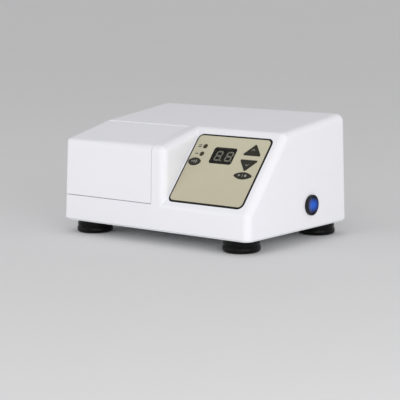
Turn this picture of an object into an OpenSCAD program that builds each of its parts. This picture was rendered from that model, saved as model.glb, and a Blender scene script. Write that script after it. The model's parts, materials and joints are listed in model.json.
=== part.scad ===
// Dental amalgamator: a desk-top mixer that shakes a sealed capsule at high speed.
// A hood on the left opens over the capsule clip, a sloped console carries the keys and the timer.
// The front faces -Y, the desk is z = 0 and the origin is the middle of the footprint.
// Housing heights are measured from the housing's lower edge, which stands on the base plate.

/* [Housing] */
// Width of the housing along its lower edge
body_w = 220; // [205:1:240]
// Depth of the housing along its lower edge
body_d = 152.3; // [150:0.1:160]
// Height of the back top edge
back_h = 99; // [95:0.1:105]
// Height of the crease where the top turns down to the front
crease_h = 88.2; // [86:0.1:91]
// Distance of the crease in front of the middle
crease_front = 19.2; // [18:0.1:21]
// Height of the front top edge on the lid side
lid_front_h = 74.5; // [72:0.1:76]
// Height of the upright strip under the console
console_lip_h = 21.9; // [20:0.1:24]
// Distance of the console's side wall right of the middle
console_x = 13.8; // [11:0.1:14.5]
// Thickness of the moulded walls
wall = 2.5; // [2:0.1:2.8]
// Radius of the rounded outer edges
edge_r = 7; // [6:0.5:8]
// Radius of the tighter edges round the lid
lid_edge_r = 3.5; // [3:0.5:5]
// Inward lean of the left side over one millimetre of height
left_draft = 0.028; // [0.01:0.001:0.035]
// Inward lean of the right side over one millimetre of height
right_draft = 0.006; // [0.004:0.001:0.02]
// Inward lean of the front over one millimetre of height
front_draft = 0.038; // [0.02:0.001:0.045]
// Inward lean of the back over one millimetre of height
back_draft = 0.026; // [0.01:0.001:0.03]
// Radius of the screw columns inside the housing
boss_r = 4; // [3.5:0.1:5]
// Distance of the screw columns from the housing's sides
boss_inset = 9; // [8.5:0.1:11]
// Height of the columns that hold the base plate
boss_h = 14; // [12:0.5:15]
// Distance of those columns to the left and right of the middle
boss_apart = 60; // [50:1:64]

/* [Lid] */
// Height of the seam under the lid
lid_seam_h = 22.2; // [21.5:0.1:24]
// Distance of the lid's right seam left of the middle
lid_seam_left = 0.9; // [0.5:0.1:3]
// Gap along the seams of the lid
seam = 0.6; // [0.4:0.1:0.8]
// Radius of the lid's round back edge
barrel_r = 3; // [2.8:0.1:4]
// Radius of the hinge pin
hinge_pin_r = 1.2; // [1:0.1:1.4]
// Width of the hinge lug at the lid's left end
lug_w = 5; // [4:0.5:8]
// Distance of the hinge lug from the lid's left side
lug_in = 1; // [0.8:0.1:2]
// Depth of the stiffening flange on the lid's right edge
flange_deep = 5; // [3:0.5:7]
// Radius of the closing magnet
magnet_r = 3; // [2.5:0.1:3.5]
// Thickness of the closing magnet
magnet_t = 2; // [1.5:0.1:2.5]

/* [Mixing chamber] */
// Thickness of the chamber's walls
chamber_wall = 2; // [1.5:0.1:2.5]
// Height of the rim round the chamber's floor
rim_h = 3; // [2:0.5:5]
// Half width of the slot for the arm
slot_half = 14; // [13:0.5:16]
// Height of the slot for the arm
slot_h = 17; // [15:0.5:20]

/* [Drive] */
// Height of the motor's axis
motor_z = 50; // [48:0.5:52]
// Distance of the motor's axis behind the middle
motor_y = 22; // [20:0.5:24]
// Radius of the motor
motor_r = 26; // [24:0.5:27]
// Length of the motor's can
motor_l = 52; // [46:1:54]
// Middle of the motor's can, right of the middle
motor_x = 1; // [-1:0.5:3]
// Length of each motor end cap
cap_l = 6; // [5:0.5:7]
// Radius of the motor shaft
shaft_r = 3; // [2.5:0.1:3.5]
// Distance of the wobble hub's centre left of the middle
hub_left = 52; // [50:0.5:55]
// Radius of the round wobble hub
hub_r = 12; // [11:0.5:13]
// Half width of the wobble hub
hub_half = 5; // [4:0.5:5.5]
// Tilt of the wobble hub on its shaft in degrees
hub_tilt = 6; // [4:0.5:7]
// Clearance between the hub and the arm's ring
hub_gap = 0.1; // [0.05:0.01:0.15]
// Radius of the cooling fan
fan_r = 22; // [18:1:24]
// Number of fan blades
fan_blades = 9; // [7:1:11]

/* [Capsule arm] */
// Outer radius of the arm's ring
ring_r = 17; // [16.5:0.5:18]
// Half width of the arm's ring
ring_half = 5.5; // [5:0.5:6]
// Distance of the capsule in front of the middle
capsule_front = 46; // [44:1:48]
// Radius of the capsule that the clip holds
capsule_r = 5.6; // [5:0.1:6]
// Half length of the seat between the arm's two cheeks
seat_half = 15.5; // [14:0.5:17]
// Thickness of the clip's spring steel
clip_t = 0.8; // [0.6:0.1:1]

/* [Console] */
// Distance of the panel's left edge from the console's side wall
panel_in = 1; // [0.6:0.1:1.4]
// Width of the panel
panel_w = 84.9; // [82:0.1:86]
// Distance of the panel from the crease at the slope's upper edge
panel_clear = 7.2; // [6:0.1:9]
// Distance of the panel from the slope's lower edge
panel_up = 5.6; // [5:0.1:6.5]
// Corner radius of the panel
panel_r = 6; // [4:0.5:8]
// Width of the dark border round the panel
border = 1.8; // [1.2:0.1:2.4]
// Depth of the panel's recess
recess = 1.6; // [1.2:0.1:1.8]
// Thickness of the printed front film
film_t = 0.5; // [0.4:0.1:0.8]
// Width of the display window
window_w = 25.8; // [24:0.1:28]
// Length of the display window up the slope
window_l = 17.6; // [16:0.1:19]
// Width of the arrow keys
arrow_w = 18; // [16:0.1:19]
// Length of the arrow keys up the slope
arrow_l = 11.2; // [10:0.1:12]
// Clearance round the keys
key_gap = 0.3; // [0.2:0.05:0.4]
// Height of the keys over the film
key_proud = 0.5; // [0.4:0.1:0.8]
// Travel of the keys
key_travel = 0.6; // [0.4:0.1:0.7]
// Radius of the indicator lights
light_r = 2.4; // [2:0.1:2.6]
// Distance of the circuit board under the slope
board_deep = 14; // [13:0.5:16]
// Thickness of the circuit boards
board_t = 1.6; // [1:0.1:2]

/* [Power switch] */
// Distance of the switch behind the middle
switch_y = 17; // [15:0.5:22]
// Height of the switch
switch_z = 20; // [18:0.5:23]
// Radius of the switch's bezel
bezel_r = 9.4; // [9:0.1:10.2]
// Thickness of the switch's bezel
bezel_t = 2; // [1.5:0.1:2.5]
// Radius of the switch's barrel
barrel_switch_r = 8.7; // [8.4:0.1:8.7]
// Radius of the ball that the rocker is cut from
rocker_r = 7.5; // [7.2:0.1:7.5]
// Swing of the rocker to each side in degrees
rocker_tilt = 9; // [7:0.5:10]

/* [Power inlet] */
// Distance of the inlet from the housing's right side
inlet_in = 46; // [40:1:50]
// Height of the inlet
inlet_z = 26; // [24:0.5:30]
// Distance of the fuse holder right of the middle
fuse_x = 22; // [18:1:26]
// Radius of the fuse holder's cap
fuse_cap_r = 7; // [6:0.1:8]
// Reach of the fuse holder's cap behind the housing
fuse_reach = 7; // [5:0.5:9]
// Number of vent slots in the back
vent_count = 9; // [5:1:10]
// Distance between two vent slots
vent_pitch = 7.5; // [7:0.1:8]
// Width of a vent slot
vent_w = 3; // [2.5:0.1:3.5]
// Length of a vent slot
vent_l = 26; // [20:1:30]

/* [Base] */
// Thickness of the base plate
plate_t = 1.6; // [1.2:0.1:2]
// Distance of the base plate's rim from the housing's outside
plate_in = 1; // [0.5:0.1:1.5]
// Height of the feet
foot_h = 12; // [10:0.5:14]
// Radius of the feet
foot_r = 17; // [15:0.5:18]
// Distance of the feet from the housing's sides
foot_in_x = 22; // [21:0.5:26]
// Distance of the feet from the front and the back
foot_in_y = 19; // [18.5:0.5:22]
// Distance of the power board's middle from the housing's right side
power_in = 40; // [38:0.5:41]

/* [Hidden] */
// Small overlap that lets a cut run out of its face
cut = 1;
// Play of a part that lies loosely in its seat
play = 0.2;
// Number of sides on the hulled corner balls
ball_sides = 32;
$fn = 48;

seat_h = foot_h + plate_t;
ball_step = 360 / ball_sides;

function left_x(z) = -body_w / 2 + left_draft * z;
function right_x(z) = body_w / 2 - right_draft * z;
function front_y(z) = -body_d / 2 + front_draft * z;
function back_y(z) = body_d / 2 - back_draft * z;
// Outward normal, as [y, z], of a face that rises at an angle towards the back
function up_normal(a) = [-sin(a), cos(a)];
// Centre of the round that fits a corner between two faces
function round_centre(v, n1, n2, r) = v - r * (n1 + n2) / (1 + n1 * n2);

front_normal = [-1, 0];
back_normal = [1, 0];
crease_y = -crease_front;
crease = [crease_y, crease_h];
lid_front_y = front_y(lid_front_h);
lip_y = front_y(console_lip_h);
back_top_y = back_y(back_h);
lid_slope = atan2(crease_h - lid_front_h, crease_y - lid_front_y);
console_slope = atan2(crease_h - console_lip_h, crease_y - lip_y);
console_l = norm([crease_h - console_lip_h, crease_y - lip_y]);
top_slope = atan2(back_h - crease_h, back_top_y - crease_y);
lid_corner = round_centre([lid_front_y, lid_front_h], front_normal, up_normal(lid_slope), lid_edge_r);
strip_corner = round_centre([lid_front_y, lid_front_h], front_normal, up_normal(lid_slope), edge_r);
lid_crease = round_centre(crease, up_normal(lid_slope), up_normal(top_slope), edge_r);
lip_corner = round_centre([lip_y, console_lip_h], front_normal, up_normal(console_slope), edge_r);
console_crease = round_centre(crease, up_normal(console_slope), up_normal(top_slope), edge_r);
back_corner = round_centre([back_top_y, back_h], back_normal, up_normal(top_slope), edge_r);
// Height of the outer surface over the lid and over the fixed top
function lid_top(y) = crease_h + (y - crease_y) * tan(lid_slope);
function fixed_top(y) = crease_h + (y - crease_y) * tan(top_slope);
// Height of the top over the hinge rail: the crease, or the span over it where the crease is lower
span_h = lid_front_h + (back_h - lid_front_h) * (crease_y - lid_front_y) / (back_top_y - lid_front_y);
rail_skin = max(crease_h, span_h);

// Hinge of the lid: its round back edge touches the lid's outer surface
hinge_gap = 0.5;
hinge_y = crease_y - barrel_r - hinge_gap;
tangent_y = hinge_y - barrel_r * sin(lid_slope);
hinge_z = lid_top(tangent_y) - barrel_r * cos(lid_slope);
lid_seam_x = -lid_seam_left;
barrel_over = 0.02;
lid_right = lid_seam_x - seam;
lid_left = left_x(hinge_z) + wall;
lug_x = lid_left + lug_in;
lug_gap = 0.4;
rail_t = 2.5;
rail_deep = 12;
pin_fit = 0.05;
pin_end = 4;
magnet_in = 24;
sensor_size = [14, 5, 4];
magnet_x = lid_right - magnet_in;
magnet_up = 9;
magnet_z = lid_seam_h + magnet_up;

// Mixing chamber
chamber_floor = lid_seam_h - 0.3;
chamber_under = chamber_floor - chamber_wall;
chamber_back = crease_y - 1.1;
chamber_right = lid_seam_x + chamber_wall;
chamber_gap = 0.5;
ledge_w = 4;
ledge_t = 2.5;
rim_in = wall + 1;
chamber_back_h = hinge_z - barrel_r - 1.5;
chamber_screw_r = 1.4;
chamber_screw_l = 7;

// Drive
hub_x = -hub_left;
can_left = motor_x - motor_l / 2;
can_right = motor_x + motor_l / 2;
cradle_t = 2;
cradle_l = 44;
cradle_half = 34;
isolator_h = 10;
isolator_r = 7;
isolator_x = 16;
isolator_y = 27;
strap_w = 9;
strap_t = 1.5;
strap_screw_r = 1.5;
ear_z = -2;
strap_ahead = 17;
strap_behind = 8;
strap_spots = [motor_x - strap_ahead, motor_x + strap_behind];
cradle_leg_x = 14;
ear_w = 10;
strap_ear_w = 9.2;
strap_ear_x = 5.4;
strap_screw_in = 6;
strap_screw_y = motor_r + strap_screw_in;
strap_screw_end = 3.5;
// Radius and height of each kind of screw's head
base_head = [3, 1.8];
foot_head = [4.5, 2.5];
chamber_head = [2.8, 1.6];
strap_head = [2.8, 2];
isolator_head = [3.8, 2.4];
ring_head = [2.6, 2.4];
clip_head = [2.2, 1.4];
inlet_head = [2.8, 1.8];
board_head = [2.5, 1.6];
shaft_fit = 0.05;
can_t = 2;
armature_r = motor_r - 6;
armature_in = 9;
slot_in = 8;
slot_deep = 5;
slot_w = 2;
commutator_r = 9;
commutator_l = 8;
commutator_in = 6;
armature_end = commutator_in + commutator_l;
armature_gap = 0.6;
fan_x = can_right + cap_l + 2;
fan_l = 8;
shaft_left = hub_x - hub_half - 5;
shaft_right = fan_x + fan_l + 2;

// Capsule arm
capsule_y = -capsule_front;
beam_half = 6;
beam_h = 9;
pad_t = 3;
pad_deep = 14;
clip_top = motor_z + 1.4;
pad_top = clip_top - capsule_r - clip_t;
cheek_t = 2;
rib_t = 1.8;
clip_screw_r = 1.2;
ring_screw_r = 1.5;
ring_screw_in = 0.5;
ear_at = ring_r + 2.5;
cheek_h = 10.5;
ear_h = 7;
ear_t = 5;
guide_gap = 0.3;
guide_t = 8;
guide_rim = 5;
clip_open = 50;
clip_w = 6;
clip_apart = 5.5;
clip_reach = 11;

// Console
panel_x = console_x + panel_in;
panel_l = console_l - panel_up - panel_clear;
panel_right = panel_x + panel_w;
panel_top = panel_up + panel_l;
film_x = panel_x + border;
film_up = panel_up + border;
window_r = 2.5;
// Places on the keypad, each from its left or right edge and from its upper edge
window_in = 25.2;
window_under = 30.7;
arrow_in = 16;
arrow_up_under = 19;
arrow_down_under = 24;
speed_in = [9.4, 30.4];
start_in = [15.4, 40.5];
light_in = 13.6;
lights_under = [21.7, 13.4];
window_x = panel_x + window_in;
window_up = panel_top - window_under;
arrow_x = panel_right - arrow_in;
arrow_up_at = panel_top - arrow_up_under;
arrow_down_at = panel_top - arrow_down_under;
speed_size = [13.6, 8];
start_size = [19.2, 7];
speed_at = [panel_x + speed_in[0], panel_top - speed_in[1]];
start_at = [panel_right - start_in[0], panel_top - start_in[1]];
oval_tip = 0.08;
light_x = panel_x + light_in;
light_spots = [for (u = lights_under) panel_top - u];
pad_back = 4;
pad_over = 2;
key_under = 0.9;
board_in = 2.6;
post_r = 3;
post_in = 6.5;
board_screw_r = 1.2;
board_screw_l = 6;
display_in = 1;
display_gap = 0.3;
display_size = [window_w - 2 * display_in, window_l - 2 * display_in];
display_at = [window_x + display_in, window_up + display_in];
display_front = recess + display_gap;

// Power switch
switch_x = right_x(switch_z - bezel_r);
rocker_pivot = -0.5;
rocker_valley = 1.9;
rocker_rise = 0.28;
rocker_foot = 5;
socket_r = rocker_r + 0.15;
socket_deep = 9;
axle_r = 1.2;
axle_fit = 0.05;
barrel_deep = 15;
// Where the rocker's face meets its ball, and how far that edge reaches when tilted
rise2 = 1 + rocker_rise * rocker_rise;
tip_y = (-rocker_valley * rocker_rise
    + sqrt(rocker_r * rocker_r * rise2 - rocker_valley * rocker_valley)) / rise2;
tip_angle = atan2(rocker_valley + rocker_rise * tip_y, tip_y) + rocker_tilt;
rocker_reach = rocker_pivot + rocker_r * sin(tip_angle);

// Power inlet and fuse holder
flange_size = [50, 27];
flange_t = 2;
inlet_body = [27, 19.6];
inlet_hole = [24, 16];
inlet_deep = 19;
inlet_hole_deep = 16;
inlet_screw = 20;
inlet_screw_r = 1.4;
inlet_screw_end = 6;
inlet_x = body_w / 2 - inlet_in;
pin_spots = [[-7, -2.5], [0, 3], [7, -2.5]];
pin_w = 4;
pin_t = 2;
pin_l = 11;
pin_tail = 6;
inlet_y = back_y(inlet_z - flange_size[1] / 2);
fuse_y = back_y(inlet_z - fuse_cap_r);
fuse_barrel_r = 5.8;
fuse_deep = 20;
vent_x = -69;
vent_z = 52;

// Shift that puts the origin in the middle of the whole footprint
shift_x = -(switch_x + rocker_reach - body_w / 2) / 2;
shift_y = -(fuse_y + fuse_reach - body_d / 2) / 2;

// Base
foot_spots = [for (x = [-1, 1], y = [-1, 1]) [x * (body_w / 2 - foot_in_x), y * (body_d / 2 - foot_in_y)]];
boss_x = body_w / 2 - boss_inset;
boss_y = body_d / 2 - boss_inset;
base_bosses = [for (x = [-1, 1], y = [-1, 1]) [x * boss_apart, y * boss_y]];
chamber_bosses = [[-boss_x, -boss_y], [lid_seam_x - 6, -boss_y], [-boss_x, chamber_back - 8]];
base_screw_r = 1.5;
plate_vent = [3, 30];
plate_vent_pitch = 8;
base_screw_l = 9;
foot_screw_r = 2;
foot_screw_end = 4;
foot_seat = 7;
power_x = body_w / 2 - power_in;
power_size = [42, 74];
core_size = [34, 20, 26];
transformer_back = 16;
winding_size = [24, 36, 18];
core_foot = [8, 14];
capacitor_sizes = [[-8, 14, 7, 20], [9, 12, 5, 14], [10, 24, 4, 11]];
power_y = 6;
standoff_h = 6;
peg_r = 1.6;
power_top = standoff_h + board_t;

// Puts a piece drawn from the housing's lower edge into the frame of the whole object
module seated() {
    translate([shift_x, shift_y, seat_h]) children();
}

// Face of the console: x to the right, y up the slope, z out of it
module on_console() {
    translate([0, lip_y, console_lip_h]) rotate([console_slope, 0, 0]) children();
}

// Face of the power switch: z out of the right side, y to the back
module on_switch() {
    translate([switch_x, switch_y, switch_z]) rotate([0, 90, 0]) children();
}

// Profile in [y, z], drawn out along x
module along_x(x0, x1) {
    translate([x0, 0, 0]) rotate([90, 0, 90]) linear_extrude(x1 - x0) children();
}

// Round rod along x
module rod_x(x0, x1, r) {
    translate([x0, 0, 0]) rotate([0, 90, 0]) cylinder(h = x1 - x0, r = r);
}

// Round rod along y
module rod_y(y0, y1, r) {
    translate([0, y1, 0]) rotate([90, 0, 0]) cylinder(h = y1 - y0, r = r);
}

// Rectangle with round corners, its lower left corner at the origin
module rounded(w, l, r) {
    translate([r, 0]) square([w - 2 * r, l]);
    translate([0, r]) square([w, l - 2 * r]);
    for (x = [r, w - r], y = [r, l - r]) translate([x, y]) circle(r);
}

// Slot with round ends, centred, its length along y
module slot(w, l) {
    square([w, l - w], center = true);
    for (y = [-1, 1]) translate([0, y * (l - w) / 2]) circle(w / 2);
}

// Ball whose poles and equator are points of its facets
module ball(r) {
    rotate_extrude($fn = ball_sides)
        polygon([for (a = [-90:ball_step:90]) [r * cos(a), r * sin(a)]]);
}

module disc(r) {
    cylinder(h = 0.01, r = r, $fn = ball_sides);
}

// Left block of the moulding, from the left side to the console's side wall,
// where its front corner is rounder
module lid_block(inset = 0) {
    foot = inset > 0 ? -cut : 0;
    hull() {
        translate([left_x(lid_corner[1]) + lid_edge_r, front_y(lid_corner[1]) + lid_edge_r, lid_corner[1]])
            ball(lid_edge_r - inset);
        translate([console_x - edge_r, front_y(strip_corner[1]) + edge_r, strip_corner[1]])
            ball(edge_r - inset);
        for (c = [lid_crease, back_corner]) {
            translate([left_x(c[1]) + edge_r, c[0], c[1]]) ball(edge_r - inset);
            translate([console_x - edge_r, c[0], c[1]]) ball(edge_r - inset);
        }
        translate([left_x(0) + lid_edge_r, front_y(0) + lid_edge_r, foot]) disc(lid_edge_r - inset);
        translate([console_x - edge_r, front_y(0) + edge_r, foot]) disc(edge_r - inset);
        for (x = [left_x(0) + edge_r, console_x - edge_r])
            translate([x, back_y(0) - edge_r, foot]) disc(edge_r - inset);
    }
}

// Right block of the moulding, whose left end lies hidden in the left block
module console_block(inset = 0) {
    foot = inset > 0 ? -cut : 0;
    hidden_x = console_x - 2 * edge_r;
    hull() {
        for (c = [lip_corner, console_crease, back_corner]) {
            translate([hidden_x, c[0], c[1]]) ball(edge_r - inset);
            translate([right_x(c[1]) - edge_r, c[0], c[1]]) ball(edge_r - inset);
        }
        for (y = [front_y(0) + edge_r, back_y(0) - edge_r]) {
            translate([hidden_x, y, foot]) disc(edge_r - inset);
            translate([right_x(0) - edge_r, y, foot]) disc(edge_r - inset);
        }
    }
}

// Rail under the fixed top's front edge, with the lugs at the two ends of the lid's hinge
module hinge_rail() {
    rail_top = rail_skin - wall / 2;
    hub_of_lug = barrel_r - play;
    translate([lid_left + seam, crease_y, hinge_z - rail_deep])
        cube([chamber_right - lid_left - seam, rail_t, rail_top - hinge_z + rail_deep]);
    translate([lug_x, hinge_y, hinge_z]) rod_x(0, lug_w, hub_of_lug);
    translate([lug_x, hinge_y, hinge_z - hub_of_lug])
        cube([lug_w, crease_y - hinge_y + rail_t / 2, hub_of_lug]);
    translate([lid_seam_x, hinge_y, hinge_z]) rod_x(0, pin_end, hub_of_lug);
    translate([lid_seam_x, hinge_y, hinge_z])
        cube([pin_end, crease_y - hinge_y + rail_t / 2, lid_top(hinge_y) - hinge_z - wall / 2]);
}

// Screw column over the base plate, tied by a web to the side wall or to the front or back wall
module boss(at, h) {
    web_t = 2;
    reach = boss_inset - wall;
    translate([at[0], at[1], 0]) cylinder(h = h, r = boss_r);
    if (abs(at[1]) == boss_y)
        translate([at[0] - web_t / 2, at[1] + (at[1] < 0 ? -reach : 0), 0]) cube([web_t, reach, h - web_t]);
    else
        translate([at[0] - reach, at[1] - web_t / 2, 0]) cube([reach, web_t, h - web_t]);
}

// Ledge inside the opening's front and left sides, on which the chamber sits
module ledge() {
    x0 = left_x(chamber_under) + wall / 2;
    y0 = front_y(chamber_under) + wall / 2;
    z0 = chamber_under - ledge_t;
    translate([x0 + lid_edge_r, y0, z0]) cube([chamber_right - x0 - lid_edge_r, ledge_w, ledge_t]);
    translate([x0, y0 + lid_edge_r, z0]) cube([ledge_w, chamber_back - y0 - lid_edge_r, ledge_t]);
}

// Thickening behind the panel, with the four posts of the circuit board
module console_pad() {
    on_console() {
        translate([panel_x - pad_over, panel_up - pad_over, -pad_back])
            cube([panel_w + 2 * pad_over, panel_l + 2 * pad_over, pad_back - wall / 2]);
        for (p = board_posts)
            translate([p[0], p[1], -board_deep]) cylinder(h = board_deep - wall / 2, r = post_r);
    }
}

board_posts = [for (x = [panel_x + post_in, panel_x + panel_w - post_in],
    y = [panel_up + post_in, panel_up + panel_l - post_in]) [x, y]];

module vents() {
    for (i = [0:vent_count - 1])
        translate([vent_x + i * vent_pitch, back_y(0) + cut, vent_z])
            rotate([90, 0, 0]) linear_extrude(wall + 4 * cut) slot(vent_w, vent_l);
}

module housing() {
    color("whitesmoke") seated() difference() {
        union() {
            difference() {
                union() {
                    lid_block();
                    console_block();
                }
                lid_block(wall);
                console_block(wall);
                translate([-body_w, -body_d, lid_seam_h])
                    cube([body_w + lid_seam_x, body_d + crease_y, body_d]);
            }
            hinge_rail();
            for (at = base_bosses) boss(at, boss_h);
            for (at = chamber_bosses) boss(at, chamber_under);
            ledge();
            console_pad();
        }
        translate([0, hinge_y, hinge_z]) rod_x(lid_left, lid_seam_x + pin_end - 1, hinge_pin_r);
        for (at = base_bosses)
            translate([at[0], at[1], -cut]) cylinder(h = base_screw_l + 2 * cut, r = base_screw_r);
        for (at = chamber_bosses)
            translate([at[0], at[1], chamber_under - chamber_screw_l - cut])
                cylinder(h = chamber_screw_l + 2 * cut, r = chamber_screw_r);
        on_console() {
            translate([panel_x - play, panel_up - play, -recess])
                linear_extrude(recess + cut) rounded(panel_w + 2 * play, panel_l + 2 * play, panel_r);
            translate([display_at[0] - play, display_at[1] - play, -pad_back - cut])
                cube([display_size[0] + 2 * play, display_size[1] + 2 * play, pad_back + cut]);
            for (y = light_spots)
                translate([light_x, y, -pad_back - cut])
                    cylinder(h = pad_back + cut, r = light_r + play / 2);
            for (p = board_posts)
                translate([p[0], p[1], -board_deep - cut])
                    cylinder(h = board_screw_l + 2 * cut, r = board_screw_r);
        }
        translate([switch_x - 2 * wall, switch_y, switch_z]) rod_x(0, 3 * wall, barrel_switch_r + 0.1);
        translate([inlet_x, inlet_y - 3 * wall, inlet_z])
            translate([-inlet_body[0] / 2 - play, 0, -inlet_body[1] / 2 - play])
                cube([inlet_body[0] + 2 * play, 4 * wall, inlet_body[1] + 2 * play]);
        for (x = [-1, 1])
            translate([inlet_x + x * inlet_screw, inlet_y - 3 * wall, inlet_z])
                rod_y(0, 4 * wall, inlet_screw_r);
        translate([fuse_x, fuse_y - 3 * wall, inlet_z]) rod_y(0, 4 * wall, fuse_barrel_r + 0.1);
        vents();
    }
}

module base_plate() {
    w = body_w - 2 * plate_in;
    d = body_d - 2 * plate_in;
    color("gainsboro") seated() translate([0, 0, -plate_t]) difference() {
        translate([-w / 2, -d / 2, 0]) linear_extrude(plate_t) rounded(w, d, edge_r);
        for (at = foot_spots)
            translate([at[0], at[1], -cut]) cylinder(h = plate_t + 2 * cut, r = foot_screw_r);
        for (at = base_bosses)
            translate([at[0], at[1], -cut]) cylinder(h = plate_t + 2 * cut, r = base_screw_r + play);
        for (x = [-1, 1], y = [-1, 1])
            translate([motor_x + x * isolator_x, motor_y + y * isolator_y, -cut])
                cylinder(h = plate_t + 2 * cut, r = foot_screw_r);
        for (i = [-3:3])
            translate([motor_x + i * plate_vent_pitch, -body_d / 4, -cut])
                linear_extrude(plate_t + 2 * cut) slot(plate_vent[0], plate_vent[1]);
    }
}

// Round-head screw whose shank points up, its head under z = 0
module screw_up(shank_r, shank_l, head_r, head_h) {
    cross_r = 0.55 * head_r;
    cross_w = 0.8;
    cylinder(h = shank_l, r = shank_r);
    translate([0, 0, -head_h]) difference() {
        cylinder(h = head_h, r = head_r);
        for (a = [0, 90]) rotate(a)
            translate([-cross_r, -cross_w / 2, -cut]) cube([2 * cross_r, cross_w, cut + head_h / 2]);
    }
}

// The same screw with its head on top of z = 0 and its shank pointing down
module screw_down(shank_r, shank_l, head_r, head_h) {
    mirror([0, 0, 1]) screw_up(shank_r, shank_l, head_r, head_h);
}

module base_screws() {
    color("silver") seated()
        for (at = base_bosses)
            translate([at[0], at[1], -plate_t])
                screw_up(base_screw_r, plate_t + base_screw_l, base_head[0], base_head[1]);
}

// Round rubber foot with a bulged edge, a flat ring underneath and a sunk screw hole
module foot(at) {
    recess_r = 6;
    waist = foot_r - 1.2;
    bulge = 3;
    color("dimgray") translate([shift_x + at[0], shift_y + at[1], 0]) difference() {
        rotate_extrude() {
            square([foot_r - bulge, foot_h]);
            translate([foot_r - bulge, bulge]) circle(bulge);
            polygon([[0, bulge], [foot_r, bulge], [waist, foot_h], [0, foot_h]]);
        }
        translate([0, 0, -cut]) cylinder(h = foot_seat + cut, r = recess_r);
        cylinder(h = foot_h + cut, r = foot_screw_r + play / 2);
    }
}

module foot_front_left() foot(foot_spots[0]);
module foot_back_left() foot(foot_spots[1]);
module foot_front_right() foot(foot_spots[2]);
module foot_back_right() foot(foot_spots[3]);

module foot_screws() {
    shank_l = foot_h - foot_seat + plate_t + foot_screw_end;
    color("silver") for (at = foot_spots)
        translate([shift_x + at[0], shift_y + at[1], foot_seat])
            screw_up(foot_screw_r, shank_l, foot_head[0], foot_head[1]);
}

// Part of the moulding that the lid covers
module lid_region() {
    translate([-body_w, -body_d, lid_seam_h + seam])
        cube([body_w + lid_right, body_d + tangent_y, body_d]);
    translate([-body_w, -body_d, lid_seam_h + seam])
        cube([body_w + lid_right, body_d + crease_y - seam, hinge_z - lid_seam_h - seam]);
}

// Profile of the flange inside the lid's right edge, along its front and its top
module lid_flange() {
    skin = 0.75 * wall;
    deep = wall + flange_deep;
    low = chamber_floor + rim_h + 1.5;
    polygon([
        [front_y(low) + skin, low],
        [lid_front_y + skin, lid_front_h - skin],
        [tangent_y, lid_top(tangent_y) - skin],
        [tangent_y, lid_top(tangent_y) - deep],
        [lid_front_y + deep, lid_top(lid_front_y + deep) - deep],
        [front_y(low) + deep, low]]);
}

module lid() {
    color("white") seated() difference() {
        union() {
            intersection() {
                difference() {
                    lid_block();
                    lid_block(wall);
                }
                lid_region();
            }
            along_x(lid_right - wall, lid_right) lid_flange();
            intersection() {
                translate([0, hinge_y, hinge_z]) rod_x(lid_left - wall / 2, lid_right, barrel_r);
                translate([0, 0, barrel_over]) lid_block();
            }
            translate([magnet_x, 0, magnet_z])
                rod_y(front_y(magnet_z) + wall / 2, front_y(magnet_z) + wall + magnet_t, magnet_r + 1.5);
        }
        translate([lug_x - lug_gap, hinge_y, hinge_z]) rod_x(0, lug_w + 2 * lug_gap, barrel_r + lug_gap);
        translate([0, hinge_y, hinge_z]) rod_x(lid_left, lid_right + cut, hinge_pin_r + pin_fit);
        translate([magnet_x, 0, magnet_z])
            rod_y(front_y(magnet_z) + wall, front_y(magnet_z) + wall + magnet_t + cut, magnet_r);
    }
}

module lid_magnet() {
    color("gray") seated() translate([magnet_x, 0, magnet_z])
        rod_y(front_y(magnet_z) + wall, front_y(magnet_z) + wall + magnet_t, magnet_r);
}

module lid_hinge_pin() {
    color("silver") seated() translate([0, hinge_y, hinge_z])
        rod_x(lug_x, lid_seam_x + pin_end - 1, hinge_pin_r);
}

// Reed switch under the chamber's floor, which feels the lid's magnet
module lid_sensor() {
    y = front_y(chamber_under) + wall + ledge_w + 1;
    color("darkgreen") seated()
        translate([magnet_x - sensor_size[0] / 2, y, chamber_under - sensor_size[2]]) cube(sensor_size);
}

module mixing_chamber() {
    x0 = left_x(chamber_floor) + wall + chamber_gap;
    y0 = front_y(chamber_floor) + wall + chamber_gap;
    rim_x = left_x(chamber_floor) + rim_in;
    rim_y = front_y(chamber_floor) + rim_in;
    back_x = left_x(chamber_back_h) + wall + chamber_gap;
    wall_y = hinge_y - barrel_r - 1;
    top_gap = wall + 1;
    color("lightgray") seated() difference() {
        union() {
            translate([x0, y0, chamber_under])
                linear_extrude(chamber_wall) difference() {
                    square([chamber_right - x0, chamber_back - y0]);
                    square(2);
                }
            translate([rim_x, rim_y, chamber_floor]) cube([chamber_right - rim_x, 1.5, rim_h]);
            translate([rim_x, rim_y, chamber_floor]) cube([1.5, chamber_back - rim_y, rim_h]);
            translate([back_x, chamber_back - chamber_wall, chamber_under])
                cube([chamber_right - back_x, chamber_wall, chamber_back_h - chamber_under]);
            along_x(lid_seam_x, chamber_right) polygon([
                [rim_y + 1, chamber_under],
                [rim_y + 1, lid_top(rim_y + 1) - top_gap],
                [wall_y, lid_top(wall_y) - top_gap],
                [wall_y, chamber_back_h],
                [chamber_back, chamber_back_h],
                [chamber_back, chamber_under]]);
        }
        translate([hub_x - slot_half, chamber_back - 2 * chamber_wall, motor_z - slot_h / 2])
            cube([2 * slot_half, 3 * chamber_wall, slot_h]);
        for (at = chamber_bosses)
            translate([at[0], at[1], chamber_under - cut])
                cylinder(h = chamber_wall + 2 * cut, r = chamber_screw_r + play);
    }
}

module chamber_screws() {
    shank_l = chamber_wall + chamber_screw_l;
    color("silver") seated()
        for (at = chamber_bosses)
            translate([at[0], at[1], chamber_floor])
                screw_down(chamber_screw_r, shank_l, chamber_head[0], chamber_head[1]);
}

// Frame of the motor: x along the shaft, y and z from the axis
module at_motor() {
    seated() translate([0, motor_y, motor_z]) children();
}

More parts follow.
